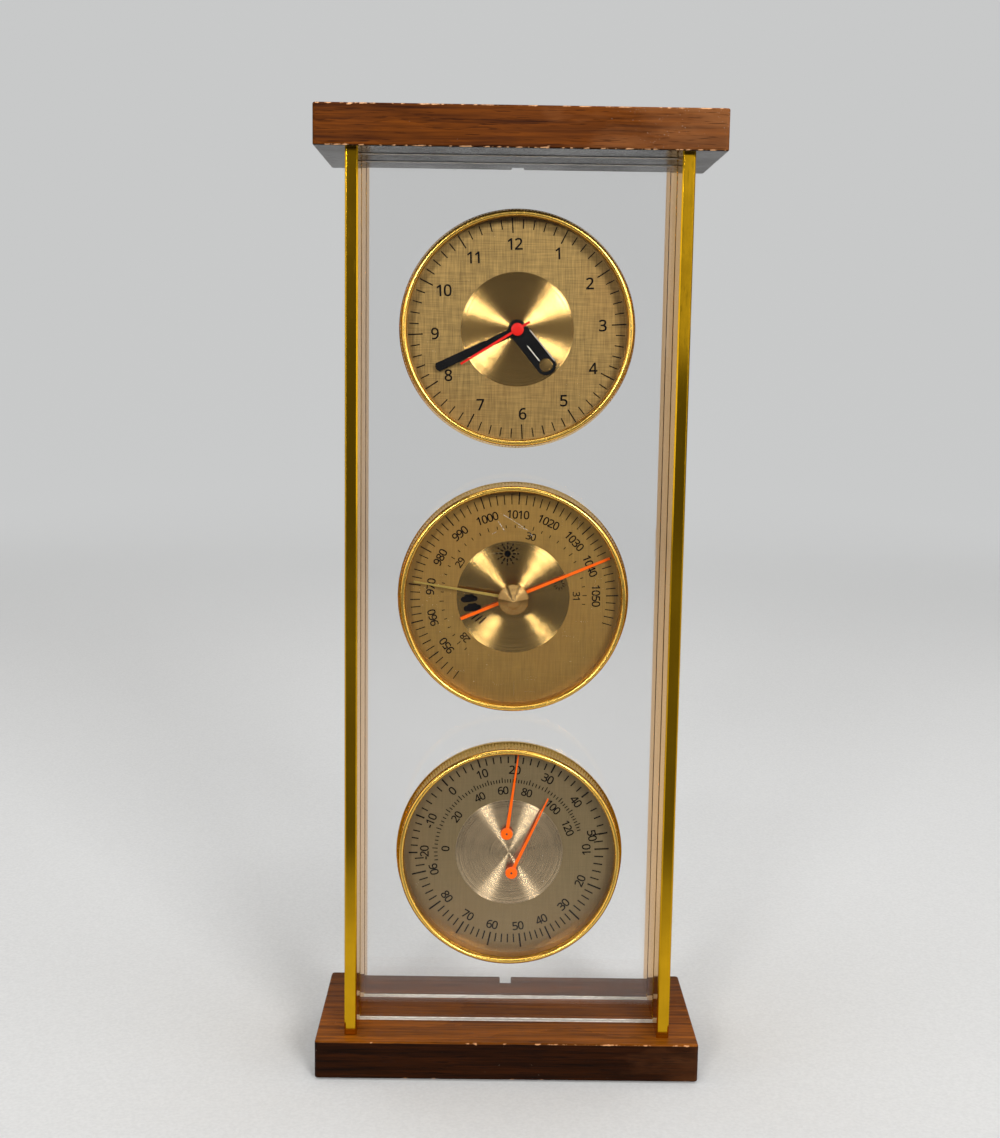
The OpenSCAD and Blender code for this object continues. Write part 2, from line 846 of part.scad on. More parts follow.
module set_hand() {
    w = 0.8;
    t = 0.4;
    color("#c2a15a") on_panel(baro_z) pointing(set_angle) translate([0, 0, set_hand_z]) difference() {
        union() {
            cylinder(r = 2*stem_r, h = t);
            translate([-w/2, 0, 0]) cube([w, set_len, t]);
        }
        translate([0, 0, -eps]) cylinder(r = stem_r + fit, h = t + 2*eps);
    }
}

module pressure_pointer() {
    w = 0.9;
    color("#f05a18") on_panel(baro_z) pointing(pressure_angle) translate([0, 0, pointer_z]) difference() {
        union() {
            cylinder(r = 1.8, h = pointer_t + 0.3);
            translate([-w/2, -pressure_tail, 0]) cube([w, pressure_tail + pressure_len, pointer_t]);
        }
        translate([0, 0, -eps]) cylinder(r = baro_arbor_r + fit, h = pointer_t);
    }
}

// Arbor of the pointer, with the pinion that the quadrant turns
module pressure_arbor() {
    first = mesh_angle(quadrant_dir + 180, quadrant_dir + 180, quadrant_teeth, pinion_teeth);
    color("#c8a64a") on_panel(baro_z) {
        shaft(baro_arbor_r, quadrant_z - 1, pointer_z + pointer_t - eps);
        shaft(pivot_r, lower_plate_z + 0.3, quadrant_z - 1 + eps);
        gear(pinion_teeth, quadrant_mod, quadrant_z - 0.4, 1.6, 0, first);
    }
}

// Toothed quadrant on its own staff, with the short tail and pin that the rocker moves
module quadrant() {
    half_teeth = floor(quadrant_half*quadrant_teeth/360);
    inner_r = quadrant_mod*quadrant_teeth/2 - 2.2;
    color("#c8a64a") on_panel(baro_z) translate([quadrant_at[0], quadrant_at[1], 0]) {
        translate([0, 0, quadrant_z]) linear_extrude(quadrant_t) rotate(quadrant_dir + 180) difference() {
            gear_outline(quadrant_teeth, quadrant_mod, -half_teeth, half_teeth);
            difference() {
                polygon([[2.6, 0], polar(inner_r, -18), polar(inner_r, 0), polar(inner_r, 18)]);
                translate([0, -0.6]) square([inner_r, 1.2]);
            }
        }
        translate([0, 0, quadrant_z]) cylinder(r = 1.9, h = quadrant_t);
        shaft(staff_r, quadrant_z, bridge_z - 0.2);
        shaft(pivot_r, lower_plate_z + 0.3, quadrant_z + eps);
        shaft(pivot_r, quadrant_z, bridge_z + 0.7);
        translate([-tail_r, 0, 0]) shaft(tail_pin_r, quadrant_z, finger_z + 1.3);
    }
}

// Rocking shaft: its long arm rests over the capsule's post, its finger moves the quadrant
module rocker() {
    reach = 1.2;
    left = quadrant_at[0] - 3.4;
    right = 5;
    arm_w = 3;
    finger_w = 0.8;
    finger_x = quadrant_at[0] - tail_r - finger_w/2;
    finger_y = quadrant_at[1] + tail_pin_r + finger_gap;
    color("#c8a64a") on_panel(baro_z) {
        translate([left, rocker_y, rocker_z]) rotate([0, 90, 0]) cylinder(r = rocker_r, h = right - left);
        translate([-arm_w/2, capsule_at[1] - reach, rocker_z - 0.5])
            cube([arm_w, rocker_y - capsule_at[1] + reach, 0.8]);
        translate([finger_x, rocker_y - 0.6, rocker_z]) cube([finger_w, 1.2, finger_z + finger_t - rocker_z]);
        translate([finger_x, finger_y, finger_z]) cube([finger_w, rocker_y - finger_y, finger_t]);
    }
}

// Lower plate of the barometer movement, with the two lugs that hold the rocking shaft
module baro_lower_plate() {
    slot_w = 2.4;
    color("#b7a06a") on_panel(baro_z) {
        difference() {
            translate([0, 0, lower_plate_z]) cylinder(r = baro_plate_r, h = baro_plate_t);
            translate([quadrant_at[0] - tail_r - slot_w/2, rocker_y - 2, lower_plate_z - eps])
                cube([slot_w, 4, baro_plate_t + 2*eps]);
            for (p = [[0, 0], quadrant_at])
                translate([p[0], p[1], lower_plate_z + 0.2]) cylinder(r = pivot_r + run, h = baro_plate_t);
            for (i = [0:2]) rotate(i*120 + 30) translate([pillar_ring_r, 0, lower_plate_z - eps])
                cylinder(r = pillar_r, h = baro_plate_t + 2*eps);
        }
        for (x = [quadrant_at[0] - 3.4, 3.5])
            difference() {
                translate([x, rocker_y - 2, rocker_z - 1.5]) cube([1.2, 4, lower_plate_z - rocker_z + 1.5 + eps]);
                translate([x - eps, rocker_y, rocker_z]) rotate([0, 90, 0]) cylinder(r = rocker_r + run, h = 2);
            }
    }
}

// Upper plate and the three pillars that stand on the case's back
module baro_bridge() {
    color("#b7a06a") on_panel(baro_z) {
        difference() {
            translate([0, 0, bridge_z]) cylinder(r = baro_plate_r, h = baro_plate_t);
            translate([0, 0, bridge_z - eps]) cylinder(r = baro_arbor_r + run, h = baro_plate_t + 2*eps);
            translate([quadrant_at[0], quadrant_at[1], bridge_z - eps]) cylinder(r = pivot_r + run, h = 0.8);
            for (a = [0, 180, 270]) rotate(a) translate([13, 0, bridge_z - eps])
                cylinder(r = 6, h = baro_plate_t + 2*eps);
        }
        for (i = [0:2]) rotate(i*120 + 30) translate([pillar_ring_r, 0, 0])
            shaft(pillar_r, case_floor, bridge_z + eps);
    }
}

// Sealed capsule with corrugated faces, a foot on the case's back and a post on top
module capsule() {
    rings = 5;
    points = 8*rings;
    mid = (capsule_z + capsule_top)/2;
    half = (capsule_top - capsule_z)/2 - 0.4;
    r = capsule_d/2;
    rim = 1.4;
    function wave(i) = half - 0.4*(1 - cos(i*360*rings/points));
    upper = [for (i = [0:points]) [i*(r - rim)/points, mid + wave(i)]];
    lower = [for (i = [0:points]) [(points - i)*(r - rim)/points, mid - wave(points - i)]];
    color("#c9cdd0") on_panel(baro_z) translate([capsule_at[0], capsule_at[1], 0]) {
        rotate_extrude() polygon(concat(upper, [[r - rim, mid + 0.5], [r, mid + 0.5],
            [r, mid - 0.5], [r - rim, mid - 0.5]], lower));
        shaft(1.2, mid, capsule_post_top);
        shaft(2.5, case_floor, mid);
    }
}

// Flat spiral strip with round ends left open; the first end is towards +X
module spiral(r0, r1, turns, t, z, h) {
    n = 24*turns;
    function at(i, off) = polar(r0 + (r1 - r0)*i/n + off, i*360*turns/n);
    translate([0, 0, z]) linear_extrude(h)
        polygon(concat([for (i = [0:n]) at(i, t/2)], [for (i = [n:-1:0]) at(i, -t/2)]));
}

// Hairspring that takes up the play, with the stud on the bridge that holds its outer end
module hairspring() {
    z = bridge_z - 1.4;
    outer = 5.6;
    color("#5b6670") on_panel(baro_z) {
        spiral(stem_r, outer, 5, 0.18, z, 0.5);
        translate([outer, 0, 0]) shaft(0.5, z, bridge_z);
    }
}

// Screw through the back of the case that sets the pointer
module adjusting_screw() {
    color("#c8a64a") on_panel(baro_z) translate([screw_hole_at[0], screw_hole_at[1], 0]) difference() {
        union() {
            shaft(2.2, case_back + 0.1, case_floor + 1);
            shaft(1.2, case_floor, case_floor + 5);
        }
        translate([-3, -0.3, case_back - eps]) cube([6, 0.6, 0.8]);
    }
}

// Thermometer and hygrometer

module thermo_bezel() {
    on_panel(lowest_z) bezel();
}

module thermo_crystal() {
    on_panel(lowest_z) crystal();
}

module thermo_dial() {
    on_panel(lowest_z, thermo_turn)
        dial("#9a8f6c", [[0, pivot_offset], [0, -pivot_offset]], needle_arbor_r + 0.5);
}

// The back has rows of slots so that the air reaches the coils
module thermo_case() {
    on_panel(lowest_z) can() {
        for (x = [-20:5:20]) if (abs(x) > 8) for (s = [-1, 1])
            translate([x - 0.8, s*9 - 5]) square([1.6, 10]);
    }
}

// Moulded bridge on two pillars that carries both needles' arbors and the ends of the coils
module thermo_bridge() {
    w = 12;
    reach = 14;
    t = 1.5;
    color("#d8d4c8") on_panel(lowest_z, thermo_turn) difference() {
        union() {
            translate([-w/2, -reach, bridge_plate_z - t]) cube([w, 2*reach, t]);
            for (s = [-1, 1]) {
                translate([0, s*(reach - 2), 0]) shaft(2, case_floor, bridge_plate_z - t + eps);
                translate([coil_end_r, s*pivot_offset, 0]) shaft(thermo_post_r, bridge_plate_z - eps, coil_z);
            }
        }
        for (s = [-1, 1]) translate([0, s*pivot_offset, bridge_plate_z - 1])
            cylinder(r = needle_arbor_r + run, h = 2);
    }
}

// Needle with a round hub, on its arbor
module needle(length, z, angle) {
    w = 1;
    hub_r = 2;
    color("#f05a18") rotate(-angle) {
        translate([0, 0, z]) cylinder(r = hub_r, h = 0.7);
        translate([-w/2, 0, z]) cube([w, length, needle_t]);
        shaft(needle_arbor_r, bridge_plate_z - 0.9, z + eps);
    }
}

module temperature_needle() {
    on_panel(lowest_z, thermo_turn) translate([0, pivot_offset, 0])
        needle(temperature_len, temperature_z, temperature_angle + thermo_turn);
}

module humidity_needle() {
    on_panel(lowest_z, thermo_turn) translate([0, -pivot_offset, 0])
        needle(humidity_len, humidity_z, humidity_angle + thermo_turn);
}

module sensing_coil(colour, side) {
    color(colour) on_panel(lowest_z, thermo_turn) translate([0, side*pivot_offset, 0])
        spiral(coil_start_r, coil_end_r, coil_turns, strip_t, coil_z, coil_w);
}

module temperature_coil() {
    sensing_coil("#b3622f", 1);
}

module humidity_coil() {
    sensing_coil("#d8d4c8", -1);
}

base_board();
top_board();
left_rail();
right_rail();
front_panel();
rear_panel();
frame_screws();
screw_plugs();
friction_rings();
seat_rings();
clock_bezel();
clock_crystal();
clock_dial();
clock_case();
movement_housing();
movement_mid_plate();
movement_back_plate();
movement_screws();
hour_hand();
hour_wheel();
minute_hand();
minute_arbor();
second_hand();
second_arbor();
motion_wheel();
set_knob();
centre_wheel();
third_wheel();
fifth_wheel();
rotor();
stator();
coil();
circuit_board();
battery();
battery_contacts();
baro_bezel();
baro_crystal();
baro_dial();
baro_case();
set_hand();
set_hand_knob();
pressure_pointer();
pressure_arbor();
quadrant();
rocker();
baro_lower_plate();
baro_bridge();
capsule();
hairspring();
adjusting_screw();
thermo_bezel();
thermo_crystal();
thermo_dial();
thermo_case();
thermo_bridge();
temperature_needle();
humidity_needle();
temperature_coil();
humidity_coil();
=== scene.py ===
# The looks of the desk weather station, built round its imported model.
from functools import partial
from math import cos, hypot, pi, radians, sin

import bmesh
import bpy
from mathutils import Matrix, Vector, noise


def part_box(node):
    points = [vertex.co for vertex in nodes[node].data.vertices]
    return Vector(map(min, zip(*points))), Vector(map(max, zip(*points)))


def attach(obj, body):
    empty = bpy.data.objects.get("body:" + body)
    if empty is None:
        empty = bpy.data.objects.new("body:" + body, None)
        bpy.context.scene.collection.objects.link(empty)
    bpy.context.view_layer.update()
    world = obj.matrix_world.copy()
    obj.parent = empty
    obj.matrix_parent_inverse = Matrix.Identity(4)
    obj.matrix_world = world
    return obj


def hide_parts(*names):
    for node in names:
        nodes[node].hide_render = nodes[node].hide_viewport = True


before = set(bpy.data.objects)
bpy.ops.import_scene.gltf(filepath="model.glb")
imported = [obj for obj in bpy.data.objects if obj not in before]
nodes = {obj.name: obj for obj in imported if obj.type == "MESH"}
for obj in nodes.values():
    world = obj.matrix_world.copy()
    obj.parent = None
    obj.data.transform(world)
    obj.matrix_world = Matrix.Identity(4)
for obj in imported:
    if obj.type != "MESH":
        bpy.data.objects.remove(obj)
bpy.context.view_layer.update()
bpy.ops.object.select_all(action="DESELECT")
mm = 0.001

# --- Base board ---
# A solid walnut board, sawn along the grain and stained nearly black, under a glossy
# varnish. Its top face is painted much lighter than its sides, as lit from above, and
# darker toward the rear, as shade. Its edges are eased, and knocks have chipped them
# down to the pale wood.
board_w, board_d, board_t = 127.0 * mm, 57.2 * mm, 12.7 * mm
corner_r, notch_w, notch_d = 1.2 * mm, 4.0 * mm, 5.5 * mm
eased_edge, edge_strip, edge_cuts, long_edge = 0.45 * mm, 0.5 * mm, 100, 40 * mm
screw_x, screw_y, bore_r = 52.05 * mm, 17 * mm, 1.4 * mm
recess_r, recess_deep, past_face = 3.0 * mm, 5.0 * mm, 1 * mm
sliver = 0.01 * mm  # two measures closer than this are one and the same


def begin(name):
    """Names the shape just added, fixes its place in its mesh and opens it for shaping."""
    piece = bpy.context.object
    piece.name = piece.data.name = name
    bpy.ops.object.transform_apply(location=True, rotation=True, scale=True)
    bpy.ops.object.mode_set(mode="EDIT")
    bpy.ops.mesh.select_mode(type="VERT")
    take_all()
    return piece


def take_all():
    bpy.ops.mesh.select_all(action="SELECT")


def draw_out(*way):
    bpy.ops.mesh.extrude_region_move(TRANSFORM_OT_translate={"value": way})


def raise_outline(thickness):
    """Fills the open piece's outlines and draws them out, toward the front if below nought."""
    take_all()
    bpy.ops.mesh.fill(use_beauty=True)
    draw_out(0, thickness, 0)


def cut_across(point, normal):
    take_all()
    bpy.ops.mesh.bisect(plane_co=point, plane_no=normal)


def circle(x, y, z, radius, count):
    """Adds a circle that faces the front."""
    bpy.ops.mesh.primitive_circle_add(vertices=count, radius=radius, location=(x, y, z),
                                      rotation=(radians(90), 0, 0))


def bar(x, y, z, width, depth, length, angle=0):
    """Adds a straight bar, turned clockwise by an angle in degrees as seen from the front."""
    bpy.ops.mesh.primitive_cube_add(size=1, location=(x, y, z), rotation=(0, radians(angle), 0),
                                    scale=(width, depth, length))


def swing(angle, x, y, z):
    """Turns what is selected clockwise about a point as seen from the front."""
    bpy.ops.transform.rotate(value=radians(-angle), orient_axis="Y", center_override=(x, y, z))


def pick(piece, part, rule):
    """Selects the points, edges or faces of the open piece for which the rule holds."""
    bpy.ops.mesh.select_mode(type=part)
    bpy.ops.mesh.select_all(action="DESELECT")
    shape = bmesh.from_edit_mesh(piece.data)
    for item in {"VERT": shape.verts, "EDGE": shape.edges, "FACE": shape.faces}[part]:
        if rule(item):
            item.select_set(True)
    shape.select_flush_mode()
    bmesh.update_edit_mesh(piece.data)


def finish(piece, material, body, slot, *stands_for, smooth=35):
    """Closes a shaped piece, smooths its round faces, and gives it its finish and its body."""
    take_all()
    bpy.ops.mesh.normals_make_consistent(inside=False)
    bpy.ops.object.mode_set(mode="OBJECT")
    bpy.ops.object.shade_smooth_by_angle(angle=radians(smooth))
    piece.data.materials.clear()
    piece.data.materials.append(material)
    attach(piece, body)
    if stands_for:
        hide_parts(*stands_for)
    return piece


def sharp(edge, least=0.5):
    return len(edge.link_faces) == 2 and edge.calc_face_angle() > least


def saw_board(name, bottom, top):
    """Saws the notched outline, raises it to the board's thickness and eases its edges."""
    bpy.ops.mesh.primitive_plane_add(size=1, location=(0, 0, bottom))
    bpy.context.object.scale = (board_w, board_d, 1)
    board = begin(name)
    notch_y = board_d / 2 - notch_d
    cut_across((-notch_w / 2, 0, 0), (1, 0, 0))
    cut_across((notch_w / 2, 0, 0), (1, 0, 0))
    cut_across((0, notch_y, 0), (0, 1, 0))
    pick(board, "FACE", lambda f: abs(f.calc_center_median().x) < notch_w / 2
         and f.calc_center_median().y > notch_y)
    bpy.ops.mesh.delete(type="FACE")
    take_all()
    draw_out(0, 0, top - bottom)
    take_all()
    bpy.ops.mesh.normals_make_consistent(inside=False)
    bpy.ops.mesh.dissolve_limited(angle_limit=0.01)
    pick(board, "EDGE", lambda e: abs(e.verts[0].co.z - e.verts[1].co.z) > board_t / 2
         and abs(e.verts[0].co.x) > board_w / 2 - sliver)
    bpy.ops.mesh.bevel(offset=corner_r, segments=4)
    pick(board, "EDGE", sharp)
    bpy.ops.mesh.bevel(offset=eased_edge, segments=3)
    # narrow strips beside every edge, cut short along its length, so that it can chip
    half = (board_w / 2, board_d / 2)
    strips = [(axis, side * (half[axis] - eased_edge - step * edge_strip))
              for axis in (0, 1) for side in (-1, 1) for step in (1, 2)]
    strips += [(2, level + way * (eased_edge + step * edge_strip))
               for level, way in ((bottom, 1), (top, -1)) for step in (1, 2)]
    for axis, at in strips:
        normal = [float(k == axis) for k in range(3)]
        cut_across([at * k for k in normal], normal)
    reach = 2.5 * edge_strip
    for axis in (0, 1):
        pick(board, "EDGE", lambda e: abs(e.verts[0].co[axis] - e.verts[1].co[axis]) > long_edge
             and all(half[1 - axis] - abs(v.co[1 - axis]) < reach
                     and min(v.co.z - bottom, top - v.co.z) < reach for v in e.verts))
        bpy.ops.mesh.subdivide(number_cuts=edge_cuts)
    return board


def drill_board(board, face, way):
    """Bores the four screw holes, each with a wide recess sunk way up or down from face."""
    bpy.ops.object.mode_set(mode="OBJECT")
    for x, y in [(across * screw_x, side * screw_y) for side in (-1, 1) for across in (-1, 1)]:
        for radius, deep in ((recess_r, recess_deep), (bore_r, board_t + past_face)):
            bpy.ops.mesh.primitive_cylinder_add(
                vertices=48, radius=radius, depth=deep + past_face,
                location=(x, y, face + way * (deep - past_face) / 2))
            drill = bpy.context.object
            bore = board.modifiers.new("bore", "BOOLEAN")
            bore.object, bore.operation, bore.solver = drill, "DIFFERENCE", "EXACT"
            bpy.context.view_layer.objects.active = board
            bpy.ops.object.modifier_apply(modifier=bore.name)
            bpy.data.objects.remove(drill)
    board.select_set(True)
    bpy.ops.object.mode_set(mode="EDIT")


def chip_edges(board, bottom, top, wear):
    """Cuts a shallow facet of uneven depth along the edges; wear gives its depth at a point."""
    edge_zone, fully_bare = 3 * mm, 0.16 * mm
    shape = bmesh.from_edit_mesh(board.data)
    bare = shape.verts.layers.float.new("bare_wood")
    for v in shape.verts:
        z_side = 1 if v.co.z > (top + bottom) / 2 else -1
        below = min(top - v.co.z, v.co.z - bottom)
        for axis, half in ((1, board_d / 2), (0, board_w / 2)):
            side = 1 if v.co[axis] > 0 else -1
            inward = half - abs(v.co[axis])
            depth = wear(v.co, axis, side, z_side)
            lack = depth - (below + inward)
            if lack > 0 and below < edge_zone and inward < edge_zone:
                v.co[axis] -= side * lack / 2
                v.co.z -= z_side * lack / 2
                v[bare] = max(v[bare], min(1.0, lack / fully_bare))
    bmesh.update_edit_mesh(board.data)


def base_wear(place, axis, side, z_side):
    """Small chips along the top edges of the base, and hardly any below."""
    along = place[1 - axis] / mm + 40 * axis + 90 * side
    rough = noise.noise(Vector((along * 0.9, 3.1 * z_side, side)))
    patch = noise.noise(Vector((along * 0.16, 7.7 + z_side, side)))
    worn = 0.09 if axis == 1 and place.x > 8 * mm and z_side > 0 else 0.0
    return (0.24 + worn + 0.75 * max(0.0, rough - 0.27) + 0.2 * max(0.0, patch - 0.2)) * mm


def linear(red, green, blue):
    """A colour as seen on a screen, 0 to 255, as the shader's own numbers."""
    return (*[((c / 255 + 0.055) / 1.055) ** 2.4 if c > 10 else c / 255 / 12.92
              for c in (red, green, blue)], 1.0)


def link(made, inputs):
    """Fills a node's inputs, each with a plain value or with another node's output."""
    for key, value in inputs.items():
        if isinstance(value, bpy.types.NodeSocket):
            made.id_data.links.new(value, made.inputs[key])
        else:
            made.inputs[key].default_value = value
    return made


def add(beside, kind, inputs={}, **settings):
    """Adds a shader node to the tree that another node or socket belongs to."""
    made = beside.id_data.nodes.new("ShaderNode" + kind)
    for key, value in settings.items():
        setattr(made, key, value)
    return link(made, inputs)


def wired(*values):
    """The first of the values that is a socket."""
    return next(value for value in values if isinstance(value, bpy.types.NodeSocket))


def stretched(vector, scale, shift=(0, 0, 0)):
    """A pattern's coordinates, repeated scale times per metre along each axis or along all."""
    scale = scale if isinstance(scale, tuple) else (scale,) * 3
    return add(vector, "Mapping", {"Vector": vector, "Scale": scale, "Location": shift}).outputs[0]


def cloud(vector, scale, shift=(0, 0, 0), detail=2.0, roughness=0.5, out="Fac"):
    return add(vector, "TexNoise", {"Vector": stretched(vector, scale, shift), "Scale": 1.0,
                                    "Detail": detail, "Roughness": roughness}).outputs[out]


def span(value, low, high, to_low=0.0, to_high=1.0):
    return add(value, "MapRange", {"Value": value, "From Min": low, "From Max": high,
                                   "To Min": to_low, "To Max": to_high}).outputs[0]


def widened(noise_value, low=0.0, high=1.0):
    """Spreads the range that a noise pattern mostly keeps to from low to high."""
    return span(noise_value, 0.3, 0.7, low, high)


def sums(kind, first, second):
    return add(wired(first, second), "Math", {0: first, 1: second}, operation=kind).outputs[0]


times, plus, less, most, above = (
    partial(sums, kind) for kind in ("MULTIPLY", "ADD", "SUBTRACT", "MAXIMUM", "GREATER_THAN"))


def vectors(kind, first, second=(0, 0, 0), scale=1.0, out="Vector"):
    inputs = {0: first, "Scale": scale} if kind == "SCALE" else {0: first, 1: second}
    return add(first, "VectorMath", inputs, operation=kind).outputs[out]


def blend(amount, first, second, kind="MIX"):
    return add(wired(amount, first, second), "Mix", {0: amount, 6: first, 7: second},
               data_type="RGBA", blend_type=kind).outputs[2]


def tinted(colour, factor, lift=0.0):
    return (*[min(1.0, c * factor + lift) for c in colour[:3]], 1.0)


def new_group(name, inputs, outputs):
    """A shader node group with named sockets, built once and placed in many materials."""
    group = bpy.data.node_groups.new(name, "ShaderNodeTree")
    for label, kind in inputs:
        group.interface.new_socket(label, in_out="INPUT", socket_type="NodeSocket" + kind)
    for label in outputs:
        group.interface.new_socket(label, in_out="OUTPUT", socket_type="NodeSocketFloat")
    return group, group.nodes.new("NodeGroupInput").outputs, group.nodes.new("NodeGroupOutput")


def place_group(group, vector, **inputs):
    made = add(vector, "Group", node_tree=group)
    return link(made, {"Vector": vector, **inputs}).outputs


def new_finish(name, **fixed):
    """A material with one Principled shader, its fixed sockets, and the object's coordinates."""
    material = bpy.data.materials.new(name)
    material.use_nodes = True
    shader = material.node_tree.nodes["Principled BSDF"]
    give(shader, **fixed)
    return material, shader, add(shader, "TexCoord").outputs["Object"]


def give(shader, **inputs):
    link(shader, {label.replace("_", " "): value for label, value in inputs.items()})


def relief(shader, height, depth, normal=None):
    """Raises the surface by the height pattern, depth metres at its highest."""
    inputs = {"Height": height, "Distance": depth, "Strength": 1.0}
    if normal is not None:
        inputs["Normal"] = normal
    give(shader, Normal=add(shader, "Bump", inputs).outputs[0])


# Walnut: growth rings round a heart that lies below the board, fine fibres, and long pores.
walnut_grain, given, puts = new_group(
    "walnut_grain", [("Vector", "Vector"), ("Shift", "Vector")],
    ["Rings", "Streak", "Fibre", "Pores"])
moved = vectors("ADD", given["Vector"], given["Shift"])
wander = vectors("ADD", cloud(moved, (9, 34, 34), detail=2.0, out="Color"), (-0.5, -0.5, -0.5))
ringed = vectors("ADD", moved, vectors("SCALE", wander, scale=0.016))
rings = add(moved, "TexWave", {"Vector": stretched(ringed, 1, (0, 0, 0.046)), "Scale": 92.0,
                               "Distortion": 1.6, "Detail": 2.0, "Detail Scale": 1.5},
            wave_type="RINGS", rings_direction="X", wave_profile="SAW").outputs["Fac"]
pore = cloud(moved, (150, 2700, 2700), (5, 3, 1), detail=1.0)
link(puts, {"Rings": rings,
            "Streak": cloud(moved, (16, 560, 560), detail=4.0, roughness=0.62),
            "Fibre": cloud(moved, (90, 1900, 1900)),
            "Pores": span(pore, 0.63, 0.70)})

# Dust and small scuffs: sparse pale specks, denser where the object's own coordinates say.
settled_dust, given, puts = new_group(
    "settled_dust", [("Vector", "Vector"), ("Amount", "Float")], ["Specks", "Smears"])
speck = cloud(given["Vector"], 2200, detail=1.0)
patch = cloud(given["Vector"], 45, (2, 4, 6))
limit = add(speck, "Math", {0: given["Amount"], 1: -0.2, 2: 0.95},
            operation="MULTIPLY_ADD").outputs[0]
both = plus(speck, span(patch, 0.35, 0.7, 0.0, 0.16))
link(puts, {"Specks": span(both, limit, plus(limit, 0.04)), "Smears": span(patch, 0.4, 0.75)})


def walnut(name, dark, light, chip, shift, roughness, dust, face, worn, rear_shade=1.0, **fixed):
    """Stained and varnished walnut, pale where the edge is chipped. One face, between two
    heights, has colours and a gloss of its own: on the base it is the top, painted lighter
    than the sides as lit from above; on the top board it is the underside, stained black.
    That face is painted darker toward the rear, as shade, and the right end is rubbed dull."""
    material, shader, place = new_finish(name, **fixed)
    wood = place_group(walnut_grain, place, Shift=shift)
    tone = times(span(wood["Rings"], 0, 1, 0.3, 1.0), 0.34)
    tone = plus(tone, widened(wood["Streak"], -0.2, 0.7))
    tone = plus(tone, widened(wood["Fibre"], -0.16, 0.16))
    tone = span(tone, 0.0, 1.0)
    start, end, face_dark, face_light, face_rough = face
    parts = add(place, "SeparateXYZ", {0: place}).outputs
    on_face = span(parts["Z"], start, end)
    rub_start, rub_end, rub_colour, rub_amount = worn
    drift = widened(cloud(place, (60, 200, 200), (8, 1, 2), detail=3.0), -0.02, 0.02)
    rubbed = span(plus(parts["X"], drift), rub_start, rub_end, 0.0, rub_amount)
    colour = blend(rubbed, blend(tone, dark, light), rub_colour)
    # painted shade: the face is darkened toward the rear by the factor rear_shade, as seen through
    # the sheets
    rear = span(parts["Y"], -14 * mm, 28 * mm, 1.0, rear_shade)
    on_top = blend(1.0, blend(tone, face_dark, face_light), rear, "MULTIPLY")
    colour = blend(on_face, colour, on_top)
    colour = blend(times(wood["Pores"], 0.55), colour,
                   (dark[0] * 0.35, dark[1] * 0.3, dark[2] * 0.3, 1))
    bare = add(place, "Attribute", attribute_name="bare_wood").outputs["Fac"]
    ragged = plus(bare, widened(cloud(place, 1500), -0.35, 0.25))
    bare = span(ragged, 0.35, 0.65)
    colour = blend(bare, colour, chip)
    specks = place_group(settled_dust, place, Amount=plus(times(rubbed, 0.9), dust))
    colour = blend(times(specks["Specks"], 0.5), colour, linear(196, 180, 160))
    rough = span(specks["Smears"], 0, 1, roughness, roughness + 0.12)
    rough = plus(rough, times(on_face, face_rough - roughness))
    rough = plus(rough, times(bare, 0.4))
    height = less(times(wood["Fibre"], 0.5), wood["Pores"])
    give(shader, Base_Color=colour, Roughness=rough)
    relief(shader, height, 0.03 * mm)
    return material


# The base's top face takes its own, much lighter and warmer colours: painted light, as if falling
# from above on the top and leaving the sides in shade.
walnut_base = walnut(
    "walnut_base", linear(12, 4, 1), linear(48, 20, 3), linear(206, 148, 100), (0.013, 0.004, 0.0),
    0.42, 0.3, (12.2 * mm, 12.6 * mm, linear(84, 42, 5), linear(164, 92, 18), 0.34),
    (46 * mm, 90 * mm, linear(110, 66, 36), 0.4), rear_shade=0.45, Specular_IOR_Level=0.05)
base_board = saw_board("base_walnut", 0.0, board_t)
drill_board(base_board, 0.0, 1)
chip_edges(base_board, 0.0, board_t, base_wear)
finish(base_board, walnut_base, "frame", "walnut_base", "base_board")

# --- Side bars ---
# Two drawn bars, polished and anodised to the colour of brass, with grooves that hold the
# acrylic. The drawing leaves fine lines along them; handling has dulled them in patches.
worn_metal, given, puts = new_group(
    "worn_metal", [("Vector", "Vector"), ("Lines", "Vector")], ["Lines", "Smudge", "Scratches"])
across = vectors("MULTIPLY", given["Vector"], given["Lines"])
hair = cloud(given["Vector"], (1500, 1500, 150), (1, 2, 3), detail=1.0)
link(puts, {"Lines": add(across, "TexNoise", {"Vector": across, "Scale": 1.0, "Detail": 3.0,
                                              "Roughness": 0.6}).outputs["Fac"],
            "Smudge": span(cloud(given["Vector"], 70, detail=4.0, roughness=0.65), 0.3, 0.72),
            "Scratches": span(hair, 0.66, 0.74)})


def metal(name, colour, roughness, lines, dull, groove=0.004 * mm, ease=0.0, spread=0.10, **fixed):
    """A metal with fine lines, a finger-dulled bloom and a few hair scratches."""
    material, shader, place = new_finish(name, Metallic=1.0, **fixed)
    wear = place_group(worn_metal, place, Lines=lines)
    tone = blend(widened(wear["Lines"]), colour, tinted(colour, 1.12))
    tone = blend(times(wear["Smudge"], 0.6), tone, dull)
    rough = span(wear["Smudge"], 0, 1, roughness, roughness + spread)
    rough = plus(rough, times(wear["Scratches"], spread))
    give(shader, Base_Color=tone, Roughness=rough)
    rounded = add(place, "Bevel", {"Radius": ease}, samples=4).outputs[0] if ease else None
    relief(shader, less(wear["Lines"], wear["Scratches"]), groove, rounded)
    return material


def clad(material, *names):
    """Gives CAD nodes, whose shape is right as it is, their finish."""
    for name in names:
        for material_slot in nodes[name].material_slots:
            material_slot.material = material


